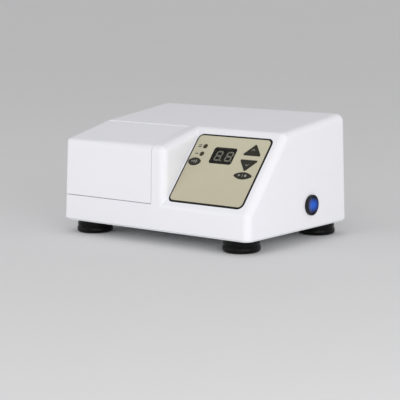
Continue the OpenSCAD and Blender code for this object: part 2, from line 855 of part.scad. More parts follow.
module motor_can() {
    color("darkslategray") at_motor() difference() {
        rod_x(can_left, can_right, motor_r);
        rod_x(can_left - cut, can_right + cut, motor_r - can_t);
    }
}

// Motor end cap with its bearing nose and six air holes, its flange at x = 0 and its nose at -x
module end_cap() {
    difference() {
        union() {
            rod_x(-cap_l, 0, motor_r - 1);
            rod_x(-cap_l - 1.5, 0, shaft_r + 5);
            rod_x(0, 3, motor_r - can_t);
        }
        rod_x(-cap_l / 2, 4, motor_r - can_t - 3);
        rod_x(-cap_l - 3, 4, shaft_r + shaft_fit);
        for (a = [30:60:330])
            rotate([a, 0, 0]) translate([0, motor_r * 0.6, 0]) rod_x(-cap_l - cut, cut, 3.4);
    }
}

// Two curved magnets against the inside of the can
module motor_magnets() {
    half_w = 0.8 * armature_r;
    color("dimgray") at_motor() for (turn = [0, 180]) rotate([turn, 0, 0])
        along_x(can_left + 7, can_right - 7) intersection() {
            difference() {
                circle(motor_r - can_t);
                circle(armature_r + armature_gap);
            }
            translate([-half_w, 0]) square([2 * half_w, motor_r]);
        }
}

// Slotted armature and its commutator, on the shaft inside the can
module motor_armature() {
    slots = 12;
    color("peru") at_motor() difference() {
        union() {
            rod_x(can_left + armature_in, can_right - armature_end, armature_r);
            rod_x(can_right - armature_end, can_right - commutator_in, commutator_r);
        }
        for (i = [0:slots - 1])
            rotate([i * 360 / slots, 0, 0])
                translate([can_left + slot_in, armature_r - slot_deep, -slot_w / 2])
                    cube([motor_l - slot_in - armature_end, slot_deep + 1, slot_w]);
        rod_x(can_left, can_right, shaft_r);
    }
}

module motor_front_cap() {
    color("silver") at_motor() translate([can_left, 0, 0]) end_cap();
}

module motor_rear_cap() {
    color("silver") at_motor() translate([can_right, 0, 0]) mirror([1, 0, 0]) end_cap();
}

// Sheet-metal cradle: a saddle for the can, two ears and a plate on the isolators
module motor_cradle() {
    plate_z = isolator_h - motor_z;
    leg_in = cradle_leg_x - cradle_t / 2;
    leg_top = -sqrt(motor_r * motor_r - leg_in * leg_in) - 0.5;
    color("lightsteelblue") at_motor() difference() {
        along_x(motor_x - cradle_l / 2, motor_x + cradle_l / 2) {
            intersection() {
                difference() {
                    circle(motor_r + cradle_t);
                    circle(motor_r);
                }
                translate([-2 * motor_r, ear_z - 2 * motor_r]) square([4 * motor_r, 2 * motor_r]);
            }
            for (s = [-1, 1]) {
                translate([s * (motor_r + ear_w / 2) - ear_w / 2, ear_z - cradle_t])
                    square([ear_w, cradle_t]);
                translate([s * cradle_leg_x - cradle_t / 2, plate_z + cradle_t / 2])
                    square([cradle_t, leg_top - plate_z - cradle_t / 2]);
            }
            translate([-cradle_half, plate_z]) square([2 * cradle_half, cradle_t]);
        }
        for (x = [-1, 1], y = [-1, 1])
            translate([motor_x + x * isolator_x, y * isolator_y, plate_z - cut])
                cylinder(h = cradle_t + 2 * cut, r = foot_screw_r + play);
        for (x = strap_spots, y = [-1, 1])
            translate([x + strap_w / 2, y * strap_screw_y, ear_z - cradle_t - cut])
                cylinder(h = cradle_t + 2 * cut, r = strap_screw_r);
    }
}

module motor_straps() {
    color("lightsteelblue") at_motor() for (x = strap_spots) difference() {
        along_x(x, x + strap_w) {
            intersection() {
                difference() {
                    circle(motor_r + strap_t);
                    circle(motor_r);
                }
                translate([-2 * motor_r, ear_z]) square([4 * motor_r, 2 * motor_r]);
            }
            for (s = [-1, 1]) translate([s * (motor_r + strap_ear_x) - strap_ear_w / 2, ear_z])
                square([strap_ear_w, strap_t]);
        }
        for (y = [-1, 1])
            translate([x + strap_w / 2, y * strap_screw_y, ear_z - cut])
                cylinder(h = strap_t + 2 * cut, r = strap_screw_r + play);
    }
}

module strap_screws() {
    color("silver") at_motor() for (x = strap_spots, y = [-1, 1])
        translate([x + strap_w / 2, y * strap_screw_y, ear_z + strap_t])
            screw_down(strap_screw_r, strap_t + cradle_t + strap_screw_end, strap_head[0], strap_head[1]);
}

// Four waisted rubber mounts between the cradle and the base plate
module motor_isolators() {
    waist = 2;
    color("black") seated() for (x = [-1, 1], y = [-1, 1])
        translate([motor_x + x * isolator_x, motor_y + y * isolator_y, 0]) rotate_extrude() difference() {
            translate([foot_screw_r + play, 0]) square([isolator_r - foot_screw_r - play, isolator_h]);
            translate([isolator_r, isolator_h / 2]) circle(waist + 0.5);
        }
}

module isolator_screws() {
    color("silver") seated() for (x = [-1, 1], y = [-1, 1])
        translate([motor_x + x * isolator_x, motor_y + y * isolator_y, isolator_h + cradle_t])
            screw_down(foot_screw_r, isolator_h + cradle_t + plate_t, isolator_head[0], isolator_head[1]);
}

module motor_shaft() {
    color("silver") at_motor() rod_x(shaft_left, shaft_right, shaft_r);
}

// Ball-shaped hub cut to a slanted disc, with a plain collar that carries its set screw
module wobble_hub() {
    collar_r = 6;
    color("silver") at_motor() difference() {
        union() {
            translate([hub_x, 0, 0]) rotate([0, 90 + hub_tilt, 0]) rotate_extrude($fn = 64)
                intersection() {
                    circle(hub_r);
                    translate([0, -hub_half]) square([hub_r, 2 * hub_half]);
                }
            rod_x(hub_x, hub_x + hub_half + 7, collar_r);
        }
        rod_x(hub_x - 2 * hub_half, hub_x + hub_half + 8, shaft_r);
        translate([hub_x + hub_half + 4, 0, shaft_r]) cylinder(h = collar_r, r = 1.25);
    }
}

module hub_screw() {
    color("black") at_motor() translate([hub_x + hub_half + 4, 0, shaft_r]) difference() {
        cylinder(h = 2.8, r = 1.25);
        translate([0, 0, 1.4]) cylinder(h = 2, r = 0.7, $fn = 6);
    }
}

module cooling_fan() {
    hub_fan_r = 7;
    blade_t = 1.2;
    color("black") at_motor() difference() {
        union() {
            rod_x(fan_x, fan_x + fan_l, hub_fan_r);
            rod_x(fan_x, fan_x + 1.2, fan_r - 6);
            for (i = [0:fan_blades - 1])
                rotate([i * 360 / fan_blades, 0, 0]) translate([fan_x, hub_fan_r - 1, -blade_t / 2])
                    cube([fan_l, fan_r - hub_fan_r + 1, blade_t]);
        }
        rod_x(fan_x - cut, fan_x + fan_l + cut, shaft_r);
    }
}

// One half of the arm's ring with its screw ears, on the side of y given by s
module half_ring(s) {
    intersection() {
        union() {
            rod_x(hub_x - ring_half, hub_x + ring_half, ring_r);
            for (z = [ring_r - 2, -ring_r - ear_h + 2])
                translate([hub_x - ring_half, -ear_t, z]) cube([2 * ring_half, 2 * ear_t, ear_h]);
        }
        translate([hub_x - 2 * ring_half, s > 0 ? 0 : -2 * ring_r, -2 * ring_r])
            cube([4 * ring_half, 2 * ring_r, 4 * ring_r]);
    }
}

module ring_holes() {
    translate([hub_x, 0, 0]) rotate([0, 90, 0]) sphere(r = hub_r + hub_gap, $fn = 64);
    for (z = [-ear_at, ear_at]) translate([hub_x, 0, z]) rod_y(-2 * ear_t, 2 * ear_t, ring_screw_r);
}

// Light-alloy arm: half of the ring, a ribbed beam and the two-cheeked fork that carries the clip
module capsule_arm() {
    front = capsule_y - motor_y;
    beam_end = front + pad_deep / 2;
    fork_half = seat_half + cheek_t;
    color("silver") at_motor() difference() {
        union() {
            half_ring(-1);
            translate([hub_x, 0, -beam_h / 2]) linear_extrude(beam_h) polygon([
                [-beam_half, -hub_r - 1],
                [beam_half, -hub_r - 1],
                [beam_half, beam_end],
                [-beam_half, beam_end]]);
            translate([hub_x - fork_half, front - pad_deep / 2, pad_top - motor_z - pad_t])
                linear_extrude(pad_t) rounded(2 * fork_half, pad_deep + pad_t, 3);
            translate([hub_x - beam_half, beam_end, pad_top - motor_z - pad_t])
                cube([2 * beam_half, pad_t + 2, motor_z - pad_top + pad_t]);
            for (x = [-fork_half, seat_half])
                translate([hub_x + x, front, pad_top - motor_z]) along_x(0, cheek_t) {
                    translate([0, cheek_h - pad_deep / 4]) circle(pad_deep / 4);
                    polygon([
                        [-pad_deep / 2 + 1, -1],
                        [pad_deep / 2 - 1, -1],
                        [pad_deep / 4, cheek_h - pad_deep / 4],
                        [-pad_deep / 4, cheek_h - pad_deep / 4]]);
                }
        }
        ring_holes();
        for (x = [-beam_half, beam_half - rib_t])
            translate([hub_x + x, beam_end + 4, -beam_h / 2 + rib_t])
                cube([rib_t, -beam_end - hub_r - 14, beam_h - 2 * rib_t]);
        for (x = [-1, 1])
            translate([hub_x + x * clip_reach, front, pad_top - motor_z - pad_t - cut])
                cylinder(h = pad_t + 2 * cut, r = clip_screw_r);
    }
}

module arm_cap() {
    color("silver") at_motor() difference() {
        half_ring(1);
        ring_holes();
    }
}

module arm_screws() {
    color("dimgray") at_motor() for (z = [-ear_at, ear_at])
        translate([hub_x, ear_t, z]) rotate([-90, 0, 0])
            screw_down(ring_screw_r, 2 * ear_t - ring_screw_in, ring_head[0], ring_head[1]);
}

// Spring-steel clip: two open rings that grip the capsule, on one strip that is screwed down
module capsule_clip() {
    mouth = 2 * capsule_r;
    strip_w = 8;
    color("gainsboro") seated() translate([hub_x, capsule_y, clip_top]) difference() {
        union() {
            for (x = [-clip_apart, clip_apart]) along_x(x - clip_w / 2, x + clip_w / 2) difference() {
                circle(capsule_r + clip_t);
                circle(capsule_r);
                polygon([[0, 0], [-mouth * tan(clip_open), mouth], [mouth * tan(clip_open), mouth]]);
            }
            translate([-seat_half + play, -strip_w / 2, -capsule_r - clip_t])
                cube([2 * seat_half - 2 * play, strip_w, clip_t]);
        }
        for (x = [-1, 1])
            translate([x * clip_reach, 0, -capsule_r - 2 * clip_t])
                cylinder(h = 3 * clip_t, r = clip_screw_r + play / 2);
        along_x(-seat_half, seat_half) circle(capsule_r);
    }
}

module clip_screws() {
    color("dimgray") seated() for (x = [-1, 1])
        translate([hub_x + x * clip_reach, capsule_y, pad_top - pad_t])
            screw_up(clip_screw_r, pad_t + clip_t, clip_head[0], clip_head[1]);
}

// Nylon frame behind the chamber's slot that keeps the arm from turning with the hub
module arm_guide() {
    window_half = slot_half - 2;
    window_h = beam_h + 2 * guide_gap;
    outer_half = slot_half + 3;
    color("ivory") seated() translate([hub_x, chamber_back, motor_z]) difference() {
        translate([-outer_half, 0, -window_h / 2 - guide_rim])
            cube([2 * outer_half, guide_t, window_h + 2 * guide_rim]);
        translate([-window_half, -cut, -window_h / 2]) cube([2 * window_half, guide_t + 2 * cut, window_h]);
    }
}

module switch_body() {
    color("black") seated() on_switch() difference() {
        union() {
            cylinder(h = bezel_t, r = bezel_r);
            translate([0, 0, -barrel_deep]) cylinder(h = barrel_deep, r = barrel_switch_r);
            for (y = [-5, 5]) translate([-2.4, y - 0.4, -barrel_deep - 8]) cube([4.8, 0.8, 9]);
        }
        translate([0, 0, -socket_deep]) cylinder(h = socket_deep + bezel_t + cut, r = socket_r);
        translate([0, 0, rocker_pivot]) rod_x(-bezel_r + 0.9, bezel_r - 0.9, axle_r + axle_fit);
    }
}

module switch_rocker() {
    side = 2 * rocker_r;
    color("royalblue") seated() on_switch() translate([0, 0, rocker_pivot]) {
        rotate([rocker_tilt, 0, 0]) intersection() {
            sphere(r = rocker_r, $fn = 64);
            along_x(-side, side) polygon([[0, rocker_valley], [side, rocker_valley + side * rocker_rise],
                [side, -rocker_foot], [-side, -rocker_foot], [-side, rocker_valley + side * rocker_rise]]);
        }
        rod_x(-bezel_r + 1.1, bezel_r - 1.1, axle_r);
    }
}

module power_inlet() {
    ear = (flange_size[0] - inlet_body[0]) / 2;
    half_w = inlet_hole[0] / 2;
    half_h = inlet_hole[1] / 2;
    key_cut = 4;
    color("black") seated() translate([inlet_x, inlet_y, inlet_z]) difference() {
        union() {
            translate([-flange_size[0] / 2, flange_t, -flange_size[1] / 2]) rotate([90, 0, 0])
                linear_extrude(flange_t) rounded(flange_size[0], flange_size[1], ear / 2);
            translate([-inlet_body[0] / 2, -inlet_deep, -inlet_body[1] / 2])
                cube([inlet_body[0], inlet_deep + flange_t / 2, inlet_body[1]]);
        }
        translate([0, flange_t + cut, 0]) rotate([90, 0, 0])
            linear_extrude(inlet_hole_deep + flange_t + cut) polygon([
                [-half_w, -half_h],
                [half_w, -half_h],
                [half_w, half_h - key_cut],
                [half_w - key_cut, half_h],
                [-half_w + key_cut, half_h],
                [-half_w, half_h - key_cut]]);
        for (x = [-1, 1])
            translate([x * inlet_screw, 0, 0]) rod_y(-cut, flange_t + cut, inlet_screw_r + play);
        for (p = pin_spots)
            translate([p[0] - pin_w / 2, -inlet_deep - cut, p[1] - pin_t / 2])
                cube([pin_w, inlet_deep, pin_t]);
    }
}

module inlet_pins() {
    pin_whole = inlet_deep - inlet_hole_deep + pin_tail + pin_l;
    color("silver") seated() translate([inlet_x, inlet_y - inlet_deep - pin_tail, inlet_z])
        for (p = pin_spots)
            translate([p[0] - pin_w / 2, 0, p[1] - pin_t / 2]) cube([pin_w, pin_whole, pin_t]);
}

module inlet_screws() {
    color("silver") seated() for (x = [-1, 1])
        translate([inlet_x + x * inlet_screw, inlet_y + flange_t, inlet_z]) rotate([-90, 0, 0])
            screw_down(inlet_screw_r, flange_t + inlet_screw_end, inlet_head[0], inlet_head[1]);
}

module fuse_holder() {
    color("black") seated() translate([fuse_x, fuse_y, inlet_z]) difference() {
        union() {
            rod_y(0, 2, fuse_cap_r + 1.5);
            rod_y(-fuse_deep, 0, fuse_barrel_r);
            translate([-2, -fuse_deep - 7, -0.4]) cube([4, 8, 0.8]);
        }
        rod_y(-fuse_deep + 3, 2 + cut, 4);
    }
}

module fuse_cap() {
    grip = 0.8;
    color("black") seated() translate([fuse_x, fuse_y, inlet_z]) difference() {
        union() {
            rod_y(2, fuse_reach, fuse_cap_r);
            rod_y(-fuse_deep + 4, 2, 3.8);
        }
        translate([-fuse_cap_r, fuse_reach - 2, -grip]) cube([2 * fuse_cap_r, 2 + cut, 2 * grip]);
    }
}

module power_board() {
    color("darkgreen") seated() difference() {
        translate([power_x - power_size[0] / 2, power_y - power_size[1] / 2, standoff_h])
            cube([power_size[0], power_size[1], board_t]);
        for (at = standoff_spots)
            translate([at[0], at[1], standoff_h - cut]) cylinder(h = board_t + 2 * cut, r = peg_r);
    }
}

standoff_spots = [for (x = [-1, 1], y = [-1, 1])
    [power_x + x * (power_size[0] / 2 - 4), power_y + y * (power_size[1] / 2 - 4)]];

// Spacers with a snap peg through the power board
module board_standoffs() {
    color("ivory") seated() for (at = standoff_spots) translate([at[0], at[1], 0]) {
        cylinder(h = standoff_h, r = 3);
        cylinder(h = power_top + 1.5, r = peg_r);
        translate([0, 0, power_top]) cylinder(h = 1.5, r = peg_r + 0.4);
    }
}

module transformer() {
    winding_z = (core_size[2] - winding_size[2]) / 2;
    color("dimgray") seated() translate([power_x, power_y - transformer_back, power_top]) {
        translate([-core_size[0] / 2, -core_size[1] / 2, 0]) cube(core_size);
        translate([-winding_size[0] / 2, -winding_size[1] / 2, winding_z]) cube(winding_size);
        for (x = [-1, 1], y = [-1, 1])
            translate([x * core_foot[0] - 1, y * core_foot[1] - 1, 0]) cube([2, 2, winding_z + 1]);
    }
}

module capacitors() {
    color("navy") seated() for (c = capacitor_sizes)
        translate([power_x + c[0], power_y + c[1], power_top]) cylinder(h = c[3], r = c[2]);
}

module control_board() {
    color("darkgreen") seated() on_console() difference() {
        translate([panel_x + board_in, panel_up + board_in, -board_deep - board_t])
            cube([panel_w - 2 * board_in, panel_l - 2 * board_in, board_t]);
        for (p = board_posts)
            translate([p[0], p[1], -board_deep - board_t - cut])
                cylinder(h = board_t + 2 * cut, r = board_screw_r + play);
    }
}

module board_screws() {
    color("silver") seated() on_console() for (p = board_posts)
        translate([p[0], p[1], -board_deep - board_t])
            screw_up(board_screw_r, board_t + board_screw_l, board_head[0], board_head[1]);
}

module display_module() {
    color("black") seated() on_console() translate([display_at[0], display_at[1], -board_deep])
        cube([display_size[0], display_size[1], board_deep - display_front]);
}

module display_window() {
    color("darkolivegreen", 0.6) seated() on_console()
        translate([window_x + play / 2, window_up + play / 2, -recess])
            linear_extrude(recess + film_t) rounded(window_w - play, window_l - play, window_r);
}

// Rounded arrow key outline, its base on y = 0, grown by a margin
module arrow(grow) {
    r = 0.8;
    hull() {
        for (x = [-1, 1]) translate([x * (arrow_w / 2 - r), r]) circle(r + grow, $fn = 32);
        translate([0, arrow_l - r]) circle(r + grow, $fn = 32);
    }
}

// Outlines of the four keys on the console, grown by a margin
module up_outline(grow) {
    translate([arrow_x, arrow_up_at]) arrow(grow);
}

module down_outline(grow) {
    translate([arrow_x, arrow_down_at]) mirror([0, 1]) arrow(grow);
}

// Pointed oval: two shallow arcs with their tips taken off by the round ends of a slot
module oval_outline(at, size, grow) {
    half_h = size[1] / 2 + grow;
    half_w = size[0] / 2 + grow;
    lens = half_w * (1 + oval_tip);
    r = (lens * lens + half_h * half_h) / (2 * half_h);
    translate(at) intersection() {
        rotate(90) slot(2 * half_h, 2 * half_w);
        translate([0, half_h - r]) circle(r, $fn = 96);
        translate([0, r - half_h]) circle(r, $fn = 96);
    }
}

// Holes that every panel layer needs: keys, lights and window
module panel_holes() {
    up_outline(key_gap);
    down_outline(key_gap);
    oval_outline(speed_at, speed_size, key_gap);
    oval_outline(start_at, start_size, key_gap);
    for (y = light_spots) translate([light_x, y]) circle(light_r + play / 2);
    translate([window_x, window_up]) rounded(window_w, window_l, window_r);
}

// Dark backing of the keypad, which shows as a border round the film
module panel_frame() {
    color("darkslategray") seated() on_console() difference() {
        translate([panel_x, panel_up, -recess])
            linear_extrude(recess) rounded(panel_w, panel_l, panel_r - play);
        translate([0, 0, -recess - cut]) linear_extrude(recess + 2 * cut) panel_holes();
    }
}

module panel_film() {
    color("darkkhaki") seated() on_console() difference() {
        translate([film_x, film_up, 0])
            linear_extrude(film_t) rounded(panel_w - 2 * border, panel_l - 2 * border, panel_r - border);
        translate([0, 0, -cut]) linear_extrude(film_t + 2 * cut) panel_holes();
    }
}

// Key cap that stands proud of the film and has room to travel in the backing
module key_cap() {
    color("dimgray") seated() on_console() translate([0, 0, -key_under])
        linear_extrude(key_under + film_t + key_proud) children();
}

module key_up() key_cap() up_outline(0);
module key_down() key_cap() down_outline(0);
module key_start() key_cap() oval_outline(start_at, start_size, 0);
module key_speed() key_cap() oval_outline(speed_at, speed_size, 0);

// Indicator light with a domed lens just above the film
module light(y) {
    dome = 0.6;
    color("darkred") seated() on_console() translate([light_x, y, 0]) {
        translate([0, 0, -board_deep]) cylinder(h = board_deep + film_t, r = light_r);
        translate([0, 0, film_t]) cylinder(h = dome, r1 = light_r, r2 = light_r / 2);
    }
}

module light_high() light(light_spots[1]);
module light_low() light(light_spots[0]);

housing();
base_plate();
base_screws();
foot_front_left();
foot_back_left();
foot_front_right();
foot_back_right();
foot_screws();
lid();
lid_hinge_pin();
lid_magnet();
lid_sensor();
mixing_chamber();
chamber_screws();
motor_can();
motor_magnets();
motor_armature();
motor_front_cap();
motor_rear_cap();
motor_cradle();
motor_straps();
strap_screws();
motor_isolators();
isolator_screws();
motor_shaft();
wobble_hub();
hub_screw();
cooling_fan();
capsule_arm();
arm_cap();
arm_screws();
capsule_clip();
clip_screws();
arm_guide();
switch_body();
switch_rocker();
power_inlet();
inlet_pins();
inlet_screws();
fuse_holder();
fuse_cap();
power_board();
board_standoffs();
transformer();
capacitors();
control_board();
board_screws();
display_module();
display_window();
panel_frame();
panel_film();
key_up();
key_down();
key_start();
key_speed();
light_high();
light_low();
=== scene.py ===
"""Looks of a desk-top dental amalgamator: white moulded case, hood, keypad, rocker switch and feet."""
import json
import math
from functools import cache

import bmesh
import bpy
from bpy.props import FloatProperty, FloatVectorProperty, IntProperty, PointerProperty
from mathutils import Matrix, Vector


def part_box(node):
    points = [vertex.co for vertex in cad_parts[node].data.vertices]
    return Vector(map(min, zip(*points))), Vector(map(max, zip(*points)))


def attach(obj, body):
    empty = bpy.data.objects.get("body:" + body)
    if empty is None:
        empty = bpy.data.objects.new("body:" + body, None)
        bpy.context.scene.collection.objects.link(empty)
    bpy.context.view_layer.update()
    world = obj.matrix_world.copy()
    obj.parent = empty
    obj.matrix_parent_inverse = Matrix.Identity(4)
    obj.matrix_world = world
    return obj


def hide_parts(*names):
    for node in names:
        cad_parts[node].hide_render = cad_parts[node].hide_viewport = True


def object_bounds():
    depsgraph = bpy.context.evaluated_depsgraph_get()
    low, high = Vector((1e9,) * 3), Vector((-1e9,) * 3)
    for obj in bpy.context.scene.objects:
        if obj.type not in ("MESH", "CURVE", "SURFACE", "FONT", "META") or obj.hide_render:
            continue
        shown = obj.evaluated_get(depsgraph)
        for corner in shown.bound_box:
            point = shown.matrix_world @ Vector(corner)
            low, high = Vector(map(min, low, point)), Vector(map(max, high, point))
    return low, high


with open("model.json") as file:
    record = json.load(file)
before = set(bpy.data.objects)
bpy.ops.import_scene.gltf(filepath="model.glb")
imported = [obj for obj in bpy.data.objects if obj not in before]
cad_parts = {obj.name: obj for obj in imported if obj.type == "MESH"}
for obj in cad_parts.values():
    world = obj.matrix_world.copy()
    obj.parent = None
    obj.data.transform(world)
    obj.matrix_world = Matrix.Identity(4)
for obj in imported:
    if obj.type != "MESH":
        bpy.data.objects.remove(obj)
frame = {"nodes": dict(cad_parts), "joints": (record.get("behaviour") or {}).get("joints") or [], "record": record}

bl_info = {
    "name": "Dental Amalgamator",
    "version": (1, 0, 0),
    "blender": (4, 5, 0),
    "location": "View3D > Sidebar > Amalgamator",
    "description": "Dresses the amalgamator's solids in their finishes and adds what is too fine for them",
    "category": "Object",
}

MM = 0.001
WELD = 0.002 * MM  # corners of a solid that lie nearer than this are one corner
FLAT = math.radians(0.6)  # faces of a solid that turn less than this are one face
ROUNDED = math.radians(32)  # edges that turn more than this get a rounding
UP, DOWN, BACK = (0, 0, 1), (0, 0, -1), (0, 1, 0)
KEYS = ("key_up", "key_down", "key_start", "key_speed")

cad_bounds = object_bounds()


def colour_prop(name, text, value):
    """Colour setting, written as it looks on screen."""
    return FloatVectorProperty(
        name=name, description=text, default=value, subtype="COLOR_GAMMA", size=3, min=0, max=1)


def length_prop(name, text, millimetres):
    """Length setting, given in millimetres and kept in metres."""
    return FloatProperty(
        name=name, description=text, default=millimetres * MM, subtype="DISTANCE", unit="LENGTH", min=0)


def factor_prop(name, text, value):
    """Setting from 0 to 1."""
    return FloatProperty(name=name, description=text, default=value, subtype="FACTOR", min=0, max=1)


def angle_prop(name, text, degrees):
    """Angle setting, given in degrees and kept in radians."""
    return FloatProperty(
        name=name, description=text, default=math.radians(degrees), subtype="ANGLE", unit="ROTATION")


def power_prop(name, text, watts):
    """Power of a lamp."""
    return FloatProperty(name=name, description=text, default=watts, unit="POWER")


class CaseSettings(bpy.types.PropertyGroup):
    """White moulding: the case and its hood."""

    shell: colour_prop("Shell", "Colour of the case and the hood", (0.925, 0.925, 0.945))
    gloss: factor_prop("Roughness", "Roughness of the moulded surface", 0.34)
    grain: length_prop("Grain", "Size of the moulded grain", 0.5)
    edge: length_prop("Edge", "Rounding of the case's small edges", 0.35)
    chamber: colour_prop("Chamber", "Colour of the mixing chamber", (0.74, 0.75, 0.77))
    plate: colour_prop("Base Plate", "Colour of the coated base plate", (0.86, 0.87, 0.88))


class KeypadSettings(bpy.types.PropertyGroup):
    """Keypad, timer display and indicator lights."""

    film: colour_prop("Film", "Colour of the printed front film", (0.77, 0.752, 0.655))
    film_low: colour_prop("Film Foot", "Colour of the film near its lower edge", (0.75, 0.722, 0.63))
    border: colour_prop("Border", "Colour of the dark border", (0.05, 0.05, 0.045))
    key: colour_prop("Key", "Colour of the keys", (0.15, 0.142, 0.108))
    mark: colour_prop("Mark", "Colour of the marks on the keys", (0.6, 0.59, 0.55))
    screen: colour_prop("Screen", "Colour behind the digits", (0.145, 0.135, 0.10))
    segment: colour_prop("Segment", "Colour of the unlit segments", (0.80, 0.79, 0.72))
    lens: colour_prop("Lens", "Colour of the indicator lights", (0.20, 0.18, 0.10))
    digit_h: length_prop("Digit Height", "Height of a digit", 10.6)
    digit_w: length_prop("Digit Width", "Width of a digit", 7.5)
    digit_pitch: length_prop("Digit Pitch", "Distance between the digits", 12.0)
    stroke: length_prop("Stroke", "Width of a segment", 1.5)
    lean: angle_prop("Lean", "Lean of the digits", 7)
    ink_t: length_prop("Ink", "Thickness of the printed marks", 0.02)


class SwitchSettings(bpy.types.PropertyGroup):
    """Round rocker switch on the right side."""

    rocker: colour_prop("Rocker", "Colour at the heart of the rocker", (0.09, 0.35, 0.78))
    # Rocker Rim is painted shade: the rocker's colour is made to darken towards its edge
    rim: colour_prop("Rocker Rim", "Colour of the rocker near its edge", (0.015, 0.05, 0.22))
    body: colour_prop("Body", "Colour of the bezel and the barrel", (0.022, 0.026, 0.05))
    bezel_edge: length_prop("Bezel Edge", "Rounding of the bezel", 0.5)


class FootSettings(bpy.types.PropertyGroup):
    """Round rubber feet."""

    rubber: colour_prop("Rubber", "Colour of the feet", (0.035, 0.035, 0.04))
    groove: length_prop("Groove", "Depth of the groove round a foot", 0.5)
    sides: IntProperty(name="Sides", description="Sides of a foot's outline", default=96, min=24, max=160)


class DriveSettings(bpy.types.PropertyGroup):
    """Metal of the drive, the arm and the fasteners."""

    alloy: colour_prop("Alloy", "Colour of the cast and machined alloy", (0.80, 0.80, 0.82))
    steel: colour_prop("Steel", "Colour of the spring steel", (0.74, 0.74, 0.75))
    zinc: colour_prop("Zinc", "Colour of the plated screws", (0.76, 0.77, 0.77))
    paint: colour_prop("Paint", "Colour of the motor's paint", (0.16, 0.17, 0.19))
    recess: factor_prop("Recess", "Width of a screw's cross over its head", 0.17)


class StageSettings(bpy.types.PropertyGroup):
    """Floor, light and camera."""

    floor: colour_prop("Floor", "Colour of the floor", (0.90, 0.90, 0.905))
    backdrop: colour_prop("Backdrop", "Colour behind the floor", (0.80, 0.80, 0.805))
    key_light: power_prop("Key", "Power of the lamp on the right of the front", 14.6)
    fill_light: power_prop("Fill", "Power of the lamp on the left of the front", 4.4)
    glint: factor_prop("Glint", "Share of the lamps' light that reflections show", 0.45)
    ambient: FloatProperty(name="Ambient", description="Strength of the room's light", default=0.60, min=0)
    eye: FloatVectorProperty(
        name="Eye", description="Place of the camera", default=(0.890890, -1.093300, 0.248427),
        subtype="TRANSLATION", unit="LENGTH", size=3)
    yaw: angle_prop("Yaw", "Turn of the camera to the left of the depth axis", 39.56)
    pitch: angle_prop("Pitch", "Downward tilt of the camera", 8.40)
    roll: angle_prop("Roll", "Roll of the camera", -0.59)
    focal_px: FloatProperty(name="Focal", description="Focal length in pixels of the view", default=1516.8)
    centre_px: FloatVectorProperty(
        name="Centre", description="Pixel that the camera's axis meets", default=(198.467, 189.482), size=2)
    view_px: FloatProperty(name="View", description="Pixels across the square view", default=400)


def on_both_sides(operation):
    """Methods of an operator for a value on its left side and for one on its right."""
    return (
        lambda value, other: value.graph.math(operation, value, other),
        lambda value, other: value.graph.math(operation, other, value))


class Value:
    """A socket that takes part in Python expressions by adding Math nodes."""

    def __init__(self, graph, socket):
        self.graph = graph
        self.socket = socket

    __add__, __radd__ = on_both_sides("ADD")
    __sub__, __rsub__ = on_both_sides("SUBTRACT")
    __mul__, __rmul__ = on_both_sides("MULTIPLY")
    __truediv__, __rtruediv__ = on_both_sides("DIVIDE")
    __pow__, __rpow__ = on_both_sides("POWER")
    __lt__, __gt__ = on_both_sides("LESS_THAN")


